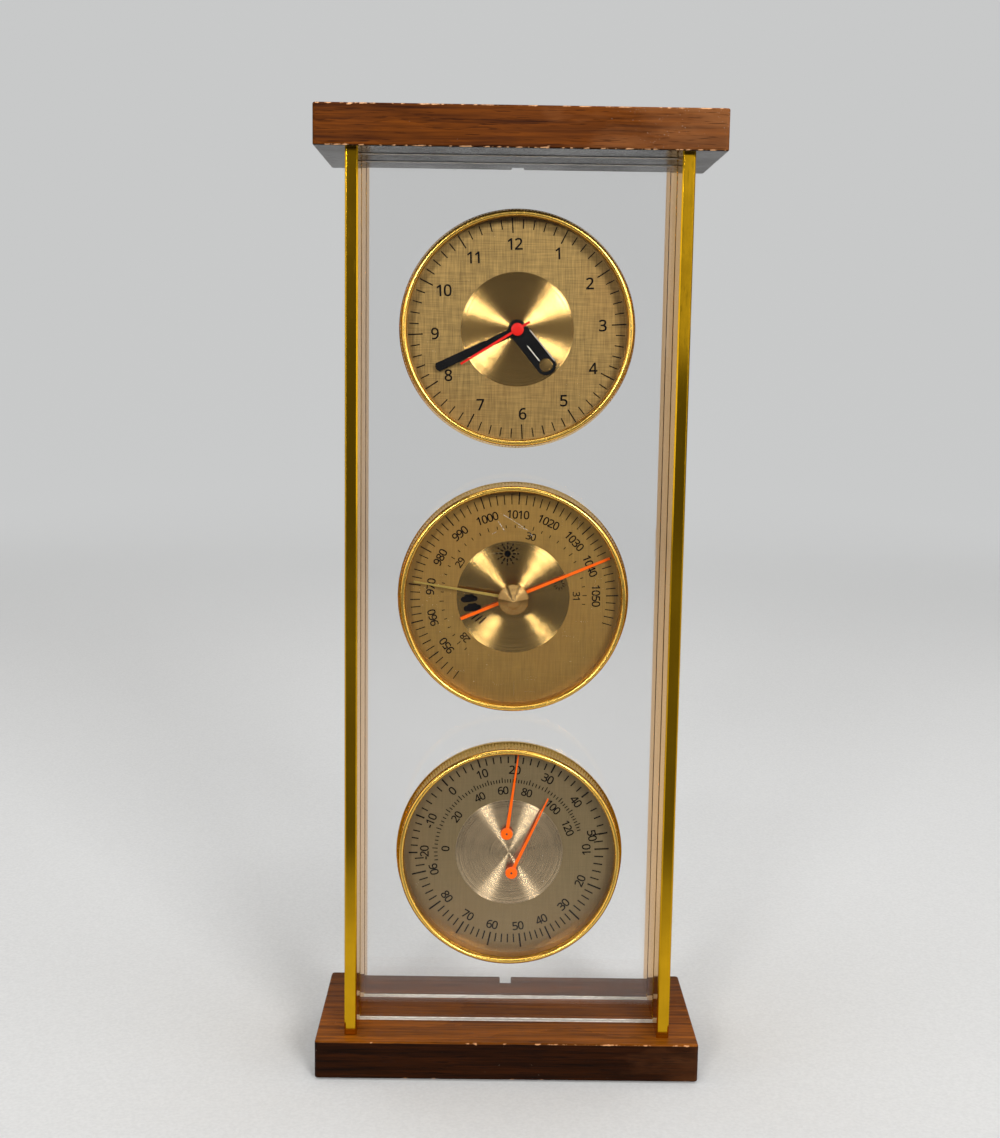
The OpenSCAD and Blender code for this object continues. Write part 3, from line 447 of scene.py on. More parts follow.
bar_gold = metal("bar_gold", linear(208, 160, 26), 0.10, (2600, 2600, 22), linear(184, 138, 20),
                 groove=0.002 * mm, ease=0.3 * mm, spread=0.04, Specular_Tint=linear(255, 226, 180))
clad(bar_gold, "left_rail", "right_rail")

# --- Base and top screws ---
# Zinc-plated steel screws, driven through the boards into the ends of the bars.
zinc = metal("zinc_plate", linear(178, 180, 178), 0.3, (1200, 1200, 200), linear(128, 128, 120),
             ease=0.1 * mm)
clad(zinc, "frame_screws", "movement_screws", "battery_contacts")

# --- Acrylic panels ---
# Two clear cast acrylic sheets, slid into the bars' grooves, their ends left as sawn. The
# faces carry fine wiping scratches, a faint film and a little dust.
wiping_marks, given, puts = new_group(
    "wiping_marks", [("Vector", "Vector"), ("Amount", "Float")], ["Scratches", "Film"])
fan = cloud(given["Vector"], (700, 700, 60), (3, 1, 2), detail=1.0)
arc = cloud(given["Vector"], (90, 700, 1300), (6, 2, 5), detail=1.0)
scratch = most(span(fan, 0.72, 0.76), span(arc, 0.73, 0.77))
link(puts, {"Scratches": times(scratch, given["Amount"]),
            "Film": span(cloud(given["Vector"], 30, detail=3.0), 0.42, 0.75)})


def clear(name, bend, film, scratches, dust):
    """Clear acrylic or glass, which lets lamp light through to what lies behind it."""
    colourless = linear(255, 255, 255)
    material, shader, place = new_finish(name, Metallic=0.0, Transmission_Weight=1.0,
                                         IOR=bend, Specular_IOR_Level=0.2)
    wiped = place_group(wiping_marks, place, Amount=scratches)
    specks = place_group(settled_dust, place, Amount=dust)
    rough = plus(times(wiped["Scratches"], 0.25), times(wiped["Film"], film))
    rough = plus(rough, times(specks["Specks"], 0.4))
    colour = blend(specks["Specks"], colourless, linear(225, 222, 215))
    give(shader, Base_Color=colour, Roughness=rough)
    relief(shader, most(wiped["Scratches"], specks["Specks"]), 0.002 * mm)
    see_through = add(place, "BsdfTransparent", {"Color": colourless}).outputs[0]
    path = add(place, "LightPath").outputs
    mirrored = less(path["Is Glossy Ray"], path["Is Transmission Ray"])
    ray = most(path["Is Shadow Ray"], most(path["Is Diffuse Ray"], mirrored))
    mixed = add(place, "MixShader", {0: ray, 1: shader.outputs[0], 2: see_through}).outputs[0]
    link(material.node_tree.nodes["Material Output"], {"Surface": mixed})
    return material


acrylic = clear("acrylic_sheet", 1.49, 0.004, 0.6, 0.12)
# The sheet's ends are sawn and frosted white. The same white, carried 0.3 mm up each face at the
# foot, is a painted highlight where light gathers in the sheet's edge.
sawn_end_and_highlight, shader, place = new_finish("sawn_end_and_highlight", Metallic=0.0)
cut = cloud(place, (500, 2400, 2400), detail=3.0)
give(shader, Base_Color=blend(widened(cut), linear(186, 178, 168), linear(240, 236, 228)),
     Roughness=widened(cut, 0.35, 0.55))
relief(shader, cut, 0.02 * mm)
dial_r, opening_r = 36.1 * mm, 30.5 * mm
clock_z, baro_z, thermo_z = (
    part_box(word + "_dial")[0].z + dial_r for word in ("clock", "baro", "thermo"))
seat_gap, foot_highlight_band = 0.03 * mm, 0.3 * mm


def cut_panel(name, node):
    """Saws a sheet to the CAD panel's size and bores its openings; its ends stay as sawn, and
    their white runs a little way up its faces as a painted highlight.
    """
    low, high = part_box(node)
    low.z, high.z = low.z + seat_gap, high.z - seat_gap
    bpy.ops.mesh.primitive_plane_add(size=1, location=(0, low.y, (low.z + high.z) / 2),
                                     rotation=(radians(90), 0, 0))
    bpy.context.object.scale = (high.x - low.x, high.z - low.z, 1)
    sheet = begin(name)
    bpy.ops.mesh.delete(type="ONLY_FACE")
    for z in (clock_z, baro_z, thermo_z):
        circle(0, low.y, z, opening_r, 128)
    raise_outline(high.y - low.y)
    cut_across((0, 0, low.z + foot_highlight_band), (0, 0, 1))
    finish(sheet, acrylic, "frame", "acrylic", node)
    sheet.data.materials.append(sawn_end_and_highlight)
    for face in sheet.data.polygons:
        if min(face.center.z - low.z - foot_highlight_band, high.z - face.center.z) < sliver:
            face.material_index = 1


cut_panel("front_sheet", "front_panel")
cut_panel("rear_sheet", "rear_panel")

# --- Top board and its plugs ---
# The same walnut with a lighter stain, rubbed through in thin lines along its edges.
# Turned walnut plugs, set flush with their end grain showing, cover the top screws.
top_z = [corner.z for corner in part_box("top_board")]


def top_wear(place, axis, side, z_side):
    """A broken line of bare wood along the front edges, with a few deeper nicks."""
    along = place[1 - axis] / mm + 17 * axis + 60 * side
    rough = noise.noise(Vector((along * 0.75, 5.3 * z_side, 2 + side)))
    nick = noise.noise(Vector((along * 0.33, 9.1 + z_side, side)))
    front = 1.0 if axis == 1 and side < 0 else 0.7
    return (0.34 + 0.30 * front * rough + 1.3 * front * max(0.0, nick - 0.42)) * mm


walnut_top = walnut(
    "walnut_top", linear(58, 24, 2), linear(122, 62, 8), linear(229, 173, 124),
    (0.31, -0.006, -0.338), 0.5, 0.3,
    (top_z[0] + 0.5 * mm, top_z[0] + 0.1 * mm, linear(18, 12, 9), linear(40, 28, 20), 0.16),
    (15 * mm, 80 * mm, linear(150, 96, 54), 0.75), Specular_IOR_Level=0.06)
top_board = saw_board("top_walnut", *top_z)
drill_board(top_board, top_z[1], -1)
chip_edges(top_board, *top_z, top_wear)
finish(top_board, walnut_top, "frame", "walnut_top", "top_board")

plug_wood, shader, place = new_finish("plug_end_grain", Specular_IOR_Level=0.25)
upright = add(place, "VectorRotate", {"Vector": place, "Angle": radians(90)},
              rotation_type="Y_AXIS").outputs[0]
wood = place_group(walnut_grain, upright, Shift=(0.2, 0.01, 0.03))
tone = blend(wood["Streak"], linear(70, 34, 14), linear(132, 80, 44))
tone = blend(wood["Pores"], tone, linear(24, 10, 5))
give(shader, Base_Color=tone, Roughness=widened(wood["Fibre"], 0.38, 0.5))
relief(shader, wood["Fibre"], 0.02 * mm)
clad(plug_wood, "screw_plugs")

# --- Instrument cases and their friction rings ---
# Drawn aluminium cans with a dull wash, each closed by its dial. A black rubber ring
# holds each in its hole in the front panel.
clad(metal("drawn_can", linear(150, 148, 142), 0.34, (900, 60, 900), linear(112, 110, 104),
           ease=0.5 * mm), "clock_case", "baro_case", "thermo_case")


def moulded(name, colour, roughness, grain_size=2400, depth=0.01 * mm):
    """Moulded plastic or rubber: a faint orange-peel, and a tone that is not quite even."""
    material, shader, place = new_finish(name)
    peel = cloud(place, grain_size)
    drift = cloud(place, 60, (4, 4, 4), detail=3.0)
    give(shader, Base_Color=blend(widened(drift), colour, tinted(colour, 1.2, 0.0008)),
         Roughness=widened(peel, roughness - 0.04, roughness + 0.06))
    relief(shader, peel, depth, add(place, "Bevel", {"Radius": 0.1 * mm}, samples=4).outputs[0])
    return material


clad(moulded("black_rubber", linear(34, 34, 34), 0.62, 1800, 0.02 * mm), "friction_rings")

# --- Clock movement ---
# A small quartz movement: black front shell, natural plastic plates and wheel, stamped
# brass wheels, a soft iron stator and rotor, an enamelled winding and a green board.
black_plastic = moulded("black_shell", linear(30, 30, 31), 0.45)
white_plastic = moulded("natural_plastic", linear(222, 216, 200), 0.42)
clad(black_plastic, "movement_housing", "set_knob")
clad(white_plastic, "movement_mid_plate", "movement_back_plate", "fifth_wheel", "thermo_bridge")
clad(metal("stamped_brass", linear(200, 162, 84), 0.26, (1400, 300, 1400), linear(160, 122, 58),
           ease=0.05 * mm),
     "hour_wheel", "minute_arbor", "second_arbor", "motion_wheel", "centre_wheel", "third_wheel",
     "pressure_arbor", "quadrant", "rocker", "adjusting_screw")
clad(metal("soft_iron", linear(132, 134, 136), 0.4, (300, 2000, 300), linear(96, 94, 90)),
     "rotor", "stator")
clad(moulded("solder_mask", linear(28, 96, 52), 0.3, 1500, 0.02 * mm), "circuit_board")

winding, shader, place = new_finish("enamelled_winding", Metallic=1.0, Coat_Weight=0.6)
turns = add(place, "TexWave", {"Vector": place, "Scale": 1400.0}, wave_type="BANDS",
            bands_direction="X", wave_profile="SIN").outputs["Fac"]
# The turns are painted darker in the grooves between them and lighter on their crowns: painted
# shade and highlight.
give(shader, Base_Color=blend(turns, linear(112, 52, 20), linear(206, 118, 66)),
     Roughness=widened(cloud(place, 900), 0.25, 0.4))
relief(shader, turns, 0.05 * mm)
clad(winding, "coil")

# --- Clock battery ---
# A plain one-cell battery: a printed metal jacket crimped over its ends, a raised contact
# at one end and a flat one at the other, and a dark insulating ring between them.
low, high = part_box("battery")
cell_z, cell_y = (low.z + high.z) / 2, (low.y + high.y) / 2
cell_r = (high.z - low.z) / 2


def turned(name, x, z, profile, columns=128, ring=False):
    """Turns a round piece about the line through x and z, from steps of radius and depth."""
    radius, depth = profile[0]
    circle(x, depth, z, radius, columns)
    piece = begin(name)
    for next_radius, next_depth in profile[1:]:
        draw_out(0, next_depth - depth, 0)
        if next_radius != radius:
            scale = next_radius / radius
            bpy.ops.transform.resize(value=(scale, 1, scale), center_override=(x, next_depth, z))
        radius, depth = next_radius, next_depth
    pick(piece, "EDGE", lambda e: len(e.link_faces) < 2)
    if ring:
        bpy.ops.mesh.bridge_edge_loops()
    else:
        bpy.ops.mesh.fill_holes(sides=0)
    return piece


cell_steps = [(0.62, 0.0), (0.66, 0.12), (0.70, 0.12), (0.93, 0.10), (0.985, 0.25), (1.0, 0.6),
              (0.99, 1.1), (0.975, 1.25), (0.99, 1.4), (1.0, 1.7), (1.0, 27.0), (0.99, 27.3),
              (0.975, 27.5), (0.99, 27.7), (1.0, 28.0), (0.985, 28.5), (0.94, 28.7), (0.72, 28.6),
              (0.70, 28.35), (0.42, 28.35), (0.40, 28.6), (0.37, 30.0), (0.31, 30.19)]
cell = turned("battery_cell", 0, 0, [(r * cell_r, d * mm) for r, d in cell_steps], 96)
take_all()
bpy.ops.transform.rotate(value=radians(90), orient_axis="Z", center_override=(0, 0, 0))
far = max(v.co.x for v in bmesh.from_edit_mesh(cell.data).verts)
near = min(v.co.x for v in bmesh.from_edit_mesh(cell.data).verts)
bpy.ops.transform.translate(value=(low.x - near, cell_y, cell_z))
jacket, shader, place = new_finish("battery_jacket", Metallic=0.6, Coat_Weight=0.5)
along = add(place, "SeparateXYZ", {0: place}).outputs["X"]
band = above(along, 7 * mm)
ends = above(add(along, "Math", {0: along}, operation="ABSOLUTE").outputs[0], 13.4 * mm)
tone = blend(band, linear(52, 58, 66), linear(184, 140, 66))
tone = blend(ends, tone, linear(186, 186, 182))
rub = cloud(place, (180, 900, 900), detail=3.0)
give(shader, Base_Color=blend(span(rub, 0.6, 0.72), tone, linear(150, 150, 148)),
     Roughness=widened(rub, 0.24, 0.4))
relief(shader, rub, 0.01 * mm)
finish(cell, jacket, "cell", "battery", "battery")

# --- Clock dial ---
# A stamped brass dial with a fine linen brushing, its centre spun on a lathe into a disc
# that throws bright wedges, and printed in black with plain numbers and minute marks.
panel_face = -11.4 * mm
dial_face = panel_face - 1.5 * mm
ink_t = 0.03 * mm
plain_zero = 0x1D7E2  # the plain sans-serif nought, with the other numbers after it


def before_panel(*steps):
    """Steps of radius and depth for a turned piece, from millimetres in front of the panel."""
    return [(r * mm, panel_face - d * mm) for r, d in steps]


def linen_dial(name, colour, vertical, level, shade):
    """Brushed both ways, more one way than the other, with a thin tired lacquer."""
    material, shader, place = new_finish(name, Metallic=0.85, Coat_Weight=0.15,
                                         Coat_Roughness=0.25)
    down = cloud(place, (3000, 3000, 150))
    over = cloud(place, (150, 3000, 3000), (3, 3, 3))
    woven = plus(times(down, vertical), times(over, level))
    tired = cloud(place, 26, (1, 5, 2), detail=4.0)
    tone = blend(span(woven, 0.35 * (vertical + level), 0.65 * (vertical + level)),
                 tinted(colour, 1 - shade), tinted(colour, 1 + shade))
    tone = blend(span(tired, 0.45, 0.75, 0, 0.35), tone,
                 (colour[0] * 1.1, colour[1] * 0.86, colour[2] * 0.7, 1))
    spots = place_group(settled_dust, place, Amount=0.15)
    tone = blend(times(spots["Specks"], 0.6), tone, linear(240, 222, 180))
    give(shader, Base_Color=tone, Roughness=widened(woven, 0.42, 0.5))
    relief(shader, woven, 0.012 * mm)
    return material


cuts_per_m, bands_per_m = 32000.0, 2600.0


def spun_disc(name, colour, centre_z, slant=0.29):
    """Turned in the lathe: rings too fine to see, each cut at a slant of its own, which stretch
    a lamp's reflection along the radius and leave it sharp across."""
    material, shader, place = new_finish(name, Metallic=1.0, Anisotropic=1.0)
    flat = vectors("MULTIPLY", stretched(place, 1, (0, 0, -centre_z)), (1, 0, 1))
    radius = vectors("LENGTH", flat, out="Value")
    outward = vectors("NORMALIZE", flat)
    outward = add(place, "VectorTransform", {0: outward}, vector_type="VECTOR",
                  convert_from="OBJECT", convert_to="WORLD").outputs[0]
    ring = add(place, "Math", {0: times(radius, cuts_per_m)}, operation="FLOOR").outputs[0]
    ring = add(place, "TexWhiteNoise", {"W": ring}, noise_dimensions="1D").outputs["Value"]
    tilt = vectors("SCALE", outward, scale=span(ring, 0, 1, -slant, slant))
    facing = vectors("ADD", add(place, "NewGeometry").outputs["Normal"], tilt)
    band = add(place, "TexNoise", {"W": times(radius, bands_per_m), "Scale": 1.0, "Detail": 1.0},
               noise_dimensions="1D").outputs["Fac"]
    give(shader, Tangent=outward, Normal=vectors("NORMALIZE", facing),
         Base_Color=blend(widened(band), tinted(colour, 0.93), tinted(colour, 1.07)),
         Roughness=widened(band, 0.23, 0.26))
    return material


def lay_disc(name, z, bore, radius, material, slot):
    """The spun centre of a dial, a hair proud of the brushing round it."""
    steps = [(bore, 0.0), (bore, 0.03), (radius - 0.05 * mm, 0.04), (radius, 0.02), (radius, 0.0)]
    disc = turned(name, 0, z, [(r, dial_face - d * mm) for r, d in steps], 128, ring=True)
    finish(disc, material, "frame", slot, smooth=10)


ink, shader, place = new_finish("printing_ink", Metallic=0.0, Specular_IOR_Level=0.05)
thin = cloud(place, 1600, detail=3.0)
give(shader, Base_Color=blend(span(thin, 0.62, 0.75), linear(5, 3, 4), linear(38, 28, 18)),
     Roughness=widened(thin, 0.26, 0.36))
relief(shader, thin, 0.005 * mm)


def print_number(label, x, z, height, angle):
    """Prints one number, its middle at x and z, turned clockwise by an angle in degrees."""
    bpy.ops.object.text_add(rotation=(radians(90), 0, 0))
    letters = bpy.context.object.data
    letters.body = "".join(chr(plain_zero + int(c)) if c.isdigit() else c for c in label)
    letters.size, letters.offset, letters.space_character = height / 0.73, 0.022 * height, 0.86
    letters.extrude, letters.resolution_u = ink_t / 2, 4
    bpy.ops.object.convert(target="MESH")
    number = begin("number")
    bpy.ops.mesh.remove_doubles(threshold=0.002 * mm)
    points = [v.co for v in bmesh.from_edit_mesh(number.data).verts]
    middle = [(min(p[i] for p in points) + max(p[i] for p in points)) / 2 for i in range(3)]
    bpy.ops.transform.translate(
        value=(x - middle[0], dial_face - ink_t / 2 - middle[1], z - middle[2]))
    swing(angle, x, dial_face, z)
    bpy.ops.object.mode_set(mode="OBJECT")
    return number


def gather(name, parts, slot):
    """Joins the printed parts of one dial into one piece."""
    bpy.ops.object.select_all(action="DESELECT")
    for part in parts:
        part.select_set(True)
    bpy.context.view_layer.objects.active = parts[0]
    bpy.ops.object.join()
    finish(begin(name), ink, "frame", slot)


def around(z, angle, radius):
    return radius * mm * sin(radians(angle)), z + radius * mm * cos(radians(angle))


def print_scale(z, marks, radius, height, turned_by=0):
    """Prints each number at its mark's angle, with its top outward unless it is turned."""
    return [print_number(str(value), *around(z, angle, radius), height * mm, angle - turned_by)
            for value, angle in marks.items()]


def print_bars(name, z, bars):
    """Prints straight marks: each is an angle, an inner and an outer radius and a width."""
    marks = None
    for angle, inner, outer, width in bars:
        x, height = around(z, angle, (inner + outer) / 2)
        bar(x, dial_face - ink_t / 2, height, width * mm, ink_t, (outer - inner) * mm, angle)
        marks = marks or begin(name)
    bpy.ops.object.mode_set(mode="OBJECT")
    return marks


clad(linen_dial("clock_linen", linear(138, 112, 64), 1.0, 0.8, 0.34), "clock_dial")
lay_disc("clock_spun_centre", clock_z, 2.75 * mm, 18.1 * mm,
         spun_disc("clock_spun", linear(206, 166, 98), clock_z), "clock_dial")
clock_turn = -3.5
printed = [print_bars("clock_marks", clock_z,
                      [(6 * k + clock_turn, *((31.5, 34.5, 0.36) if k % 5 else (30.2, 34.9, 0.42)))
                       for k in range(60)])]
for number in range(1, 13):
    x, z = around(clock_z, 30 * number + clock_turn, 26.8)
    printed.append(print_number(str(number), x + 0.5 * mm, z, 3.6 * mm, clock_turn * 0.6))
gather("clock_printing", printed, "clock_dial")

# --- Clock hands ---
# Cut from thin sheet with softened edges: black lacquered hour and minute hands, the hour
# hand with a round window near its tip, a thin white line painted on as a glint and a pale
# strip painted along one edge as its highlight, and a red second hand.
def cut_hand(name, x, z, hub, bore, arms, back, front, angle, looks, window=None, soft=0.07):
    """Draws out a round hub into arms (up or down, reach, root width, tip width, roundness). All
    but x and z are in millimetres; back and front lie that far before the panel."""
    hub, back, front = hub * mm, panel_face - back * mm, panel_face - front * mm
    circle(x, back, z, hub, 64)
    hand = begin(name)
    for way, reach, root, tip, roundness in arms:
        pick(hand, "VERT", lambda v: (v.co.z - z) * way > 1e-7 and abs(v.co.x - x) < root * mm / 2
             and hypot(v.co.x - x, v.co.z - z) < hub * 1.01)
        drawn = [abs(v.co.x - x) for v in bmesh.from_edit_mesh(hand.data).verts if v.select]
        bpy.ops.transform.translate(value=(0, 0, way * (reach * mm - hub)))
        bpy.ops.transform.resize(value=(tip * mm / 2 / max(drawn), 1, roundness),
                                 center_override=(x, back, z + way * reach * mm))
    for hole in filter(None, ((bore, 0), window)):
        circle(x, back, z + hole[1] * mm, hole[0] * mm, 32)
    raise_outline(front - back)
    take_all()
    bpy.ops.mesh.normals_make_consistent(inside=False)
    pick(hand, "EDGE", lambda e: sharp(e, 1.0) and max(v.co.y for v in e.verts) < front + sliver)
    bpy.ops.mesh.bevel(offset=soft * mm, segments=2)
    take_all()
    swing(angle, x, back, z)
    finish(hand, *looks, smooth=20)


def lacquer(name, colour, roughness, **fixed):
    """Baked lacquer: glossy, faintly rippled, with a few dull rubbed spots."""
    material, shader, place = new_finish(name, **fixed)
    ripple = cloud(place, 500)
    rubbed = cloud(place, 140, (7, 2, 3), detail=4.0)
    tone = blend(span(rubbed, 0.5, 0.75, 0, 0.5), colour, tinted(colour, 1.3, 0.002))
    give(shader, Base_Color=tone, Roughness=span(rubbed, 0.3, 0.75, roughness, roughness + 0.08))
    relief(shader, ripple, 0.006 * mm)
    return material


hand_black = lacquer("hand_black_lacquer", linear(8, 7, 7), 0.16, Specular_IOR_Level=0.4)
hand_red = lacquer("hand_red_lacquer", linear(222, 26, 14), 0.3, Specular_IOR_Level=0.2)
# pale metal for the painted highlight along the hour hand's edge
painted_edge_highlight = metal("hand_edge_painted_highlight", linear(226, 214, 202), 0.5, (1800, 1800, 300),
                  linear(180, 168, 154))
hour_angle, minute_angle, second_angle = 140.0, 244.0, 238.1
cut_hand("hour_hand_plate", 0, clock_z, 3, 2.32, [(1, 17.7, 5.99, 6.5, 1.09)], 1.9, 2.6, hour_angle,
         (hand_black, "hour", "hand_black", "hour_hand"), window=(2.1, 14.45), soft=0.16)
cut_hand("minute_hand_plate", 0, clock_z, 2.4, 1.52, [(1, 28.7, 2.1, 2.9, 3.6)], 3.0, 3.6,
         minute_angle, (hand_black, "minute", "hand_black", "minute_hand"), soft=0.14)
cut_hand("second_hand_needle", 0, clock_z, 2.0, 0.82,
         [(1, 21.1, 0.62, 0.62, 1), (-1, 4.65, 0.75, 0.75, 1)], 4.0, 4.3, second_angle,
         (hand_red, "second", "hand_red", "second_hand"), soft=0.05)
cap = turned("second_hand_cap", 0, clock_z, before_panel(
    (1.6, 4.3), (1.95, 4.3), (2.0, 4.36), (2.0, 4.62), (1.93, 4.70), (1.7, 4.76), (1.2, 4.79),
    (0.5, 4.80)), 64)
finish(cap, hand_red, "second", "hand_red")
# a thin white line on the hour hand, a painted glint, and a pale metal strip along one edge, a
# painted highlight where its bevel would catch the lamps
painted_glint_white = lacquer("painted_glint_line", linear(226, 222, 210), 0.4)
for name, x, middle, length, width, material in (
        ("hour_hand_painted_glint", 0.78, 9.1, 6.2, 0.26, painted_glint_white),
        ("hour_hand_painted_edge_highlight", -2.97, 8.9, 12.6, 0.2, painted_edge_highlight)):
    bar(x * mm, panel_face - 2.605 * mm, clock_z + middle * mm, width * mm, ink_t, length * mm)
    stripe = begin(name)
    pick(stripe, "EDGE", lambda e: abs(e.verts[0].co.y - e.verts[1].co.y) > sliver)
    bpy.ops.mesh.bevel(offset=0.4 * width * mm, segments=3)
    take_all()
    swing(hour_angle, 0, 0, clock_z)
    finish(stripe, material, "hour", "hand_black")

# --- Barometer movement ---
# A corrugated nickel-silver capsule between stamped plates, which rocks a toothed quadrant
# and, through it, the pointer's arbor against a blued hairspring.
clad(metal("stamped_plate", linear(196, 176, 122), 0.3, (1200, 200, 1200), linear(150, 132, 84),
           ease=0.05 * mm), "baro_lower_plate", "baro_bridge")
clad(metal("nickel_silver", linear(196, 200, 202), 0.24, (500, 500, 500), linear(150, 152, 150)),
     "capsule")
clad(metal("blued_spring", linear(66, 84, 128), 0.22, (300, 1800, 300), linear(40, 50, 84)),
     "hairspring")

# --- Barometer dial ---
# The same brushed brass, a warmer gold, printed with a pressure scale in hectopascals,
# an inner scale in inches, and three plain weather signs on the spun centre.
clad(linen_dial("baro_linen", linear(147, 115, 57), 0.8, 0.4, 0.13), "baro_dial")
lay_disc("baro_spun_centre", baro_z, 3.0 * mm, 18.5 * mm,
         spun_disc("baro_spun", linear(190, 154, 90), baro_z), "baro_dial")
pressures = {950: -127.3, 960: -105.3, 970: -83.4, 980: -61.8, 990: -40.3, 1000: -18.7,
             1010: 2.7, 1020: 24.4, 1030: 46.6, 1040: 67.2, 1050: 88.5}


def along_scale(marks, value):
    """The angle of a value, between the numbers on either side of it."""
    steps = sorted(marks)
    low = max([s for s in steps[:-1] if s <= value] or [steps[0]])
    high = steps[steps.index(low) + 1]
    return marks[low] + (marks[high] - marks[low]) * (value - low) / (high - low)


def scale_bars(marks, values, inner, outer, width, unit=1.0, every=10):
    """A bar for each value; outer and width are those of a main mark and of a small one."""
    return [(along_scale(marks, v * unit), inner, outer[v % every != 0], width[v % every != 0])
            for v in values]


bars = scale_bars(pressures, range(942, 1060, 2), 30.4, (34.4, 33.6), (0.38, 0.30))
inches = {value: along_scale(pressures, pressure)
          for value, pressure in ((28, 948.2), (29, 982.1), (30, 1015.9), (31, 1049.8))}
tenth_of_inch = 3.3864  # in hectopascals
bars += scale_bars(pressures, range(279, 312), 22.7, (24.1, 23.7), (0.26, 0.26), tenth_of_inch, 5)
printed = [print_bars("baro_marks", baro_z, bars)]
printed += print_scale(baro_z, pressures, 27.1, 2.65)
printed += print_scale(baro_z, inches, 20.7, 2.3)
gather("baro_printing", printed, "baro_dial")

sign_face = dial_face - 0.045 * mm


def sign_blob(name, angle, radius, puffs, turn):
    """A filled outline round overlapping puffs: each is x, z and radius in millimetres."""
    x, z = around(baro_z, angle, radius)
    circle(x, sign_face, z, 1 * mm, 96)
    blob = begin(name)
    for v in bmesh.from_edit_mesh(blob.data).verts:
        way_x, way_z = (v.co.x - x) / mm, (v.co.z - z) / mm
        reach = 0.0
        for puff_x, puff_z, puff_r in puffs:
            ahead = way_x * puff_x + way_z * puff_z
            aside = puff_r ** 2 - (puff_x ** 2 + puff_z ** 2 - ahead ** 2)
            if aside > 0:
                reach = max(reach, ahead + aside ** 0.5)
        v.co.x, v.co.z = x + way_x * reach * mm, z + way_z * reach * mm
    raise_outline(-ink_t)
    take_all()
    swing(turn, x, 0, z)
    bpy.ops.object.mode_set(mode="OBJECT")
    return blob


def sign_strokes(name, strokes):
    """Short straight strokes: x, z, length, width and angle, in millimetres and degrees."""
    marks = None
    for x, z, length, width, angle in strokes:
        bar(x * mm, sign_face - ink_t / 2, baro_z + z * mm, width * mm, ink_t, length * mm, angle)
        marks = marks or begin(name)
    pick(marks, "EDGE", lambda e: abs(e.verts[0].co.y - e.verts[1].co.y) > 0.5 * ink_t)
    bpy.ops.mesh.bevel(offset=0.09 * mm, segments=2)
    bpy.ops.object.mode_set(mode="OBJECT")
    return marks


def sun_rays(angle, radius, *rings):
    """Strokes round a point of the dial: a ring has an inner and outer radius, count and width."""
    x, z = radius * sin(radians(angle)), radius * cos(radians(angle))
    return [(x + (inner + outer) / 2 * sin(2 * pi * k / count),
             z + (inner + outer) / 2 * cos(2 * pi * k / count),
             outer - inner, width, 360 * k / count)
            for inner, outer, count, width in rings for k in range(count)]


puffs = ((-1.75, -0.25, 0.95), (-0.55, 0.35, 1.05), (0.75, 0.3, 1.1), (1.85, -0.2, 0.95),
         (0, -0.35, 0.95), (-0.9, -0.45, 0.85), (0.9, -0.45, 0.85))
rain = [(-13.5 + 1.2 * k, -6.0 - 0.62 * k, 3.0, 0.42, 56 - 3 * k) for k in range(4)]
signs = [sign_blob("rain_cloud_upper", 267.6, 14.4, puffs, -6),
         sign_blob("rain_cloud_lower", 254.9, 13.8, [(1.08 * x, z, r) for x, z, r in puffs], -6),
         sign_strokes("rain", rain),
         sign_blob("sun_disc", 352, 14.4, [(0, 0, 1.05)], 0),
         sign_strokes("sun_rays", sun_rays(352, 14.4, (1.6, 2.7, 12, 0.46), (3.1, 3.8, 12, 0.4))),
         sign_strokes("high_sun", sun_rays(74, 15.6, (0.9, 1.9, 10, 0.3)))]
gather("baro_signs", signs, "baro_dial")

# --- Barometer pointer and set hand ---
# A long orange-red pointer with a counterweight tail, and over it a slim brass marker that
# is set by hand through a cone-shaped knob, which passes through the crystal.
orange = lacquer("orange_lacquer", linear(250, 98, 2), 0.3, Specular_IOR_Level=0.15)
pressure_angle, set_angle = 66.9, 279.0
cut_hand("pressure_pointer_plate", 0, baro_z, 1.8, 0.72,
         [(1, 34.0, 0.8, 0.85, 1), (-1, 18.5, 0.95, 0.95, 1)], 2.4, 2.8, pressure_angle,
         (orange, "pressure", "needle", "pressure_pointer"))
boss = turned("pressure_pointer_boss", 0, baro_z,
              before_panel((1.75, 2.8), (1.78, 2.95), (1.7, 3.05), (1.5, 3.1)), 64)
finish(boss, orange, "pressure", "needle")
brass_satin = metal("turned_brass", linear(186, 160, 84), 0.42, (1800, 1800, 1800),
                    linear(138, 116, 54), spread=0.06)
cut_hand("set_hand_plate", 0, baro_z, 2.4, 1.22, [(1, 32.8, 0.65, 0.55, 1)], 4.3, 4.7, set_angle,
         (brass_satin, "marker", "knob_brass", "set_hand"))
cone_brass = spun_disc("cone_brass", linear(176, 142, 88), baro_z)
cone_steps = [(1.2, 4.3), (1.2, 7.0), (4.7, 7.0), (4.92, 7.08), (5.0, 7.2), (5.0, 7.75),
              (4.93, 7.9), (4.8, 8.0)]
cone_steps += [(4.8 - 4.4 * k / 8, 8.0 + 3.86 * k / 8) for k in range(1, 8)]
cone_steps += [(0.38, 11.87), (0.26, 11.96), (0.12, 12.0)]
knob = turned("set_knob_cone", 0, baro_z, before_panel(*cone_steps), 120)
finish(knob, cone_brass, "marker", "knob_brass", "set_hand_knob", smooth=50)

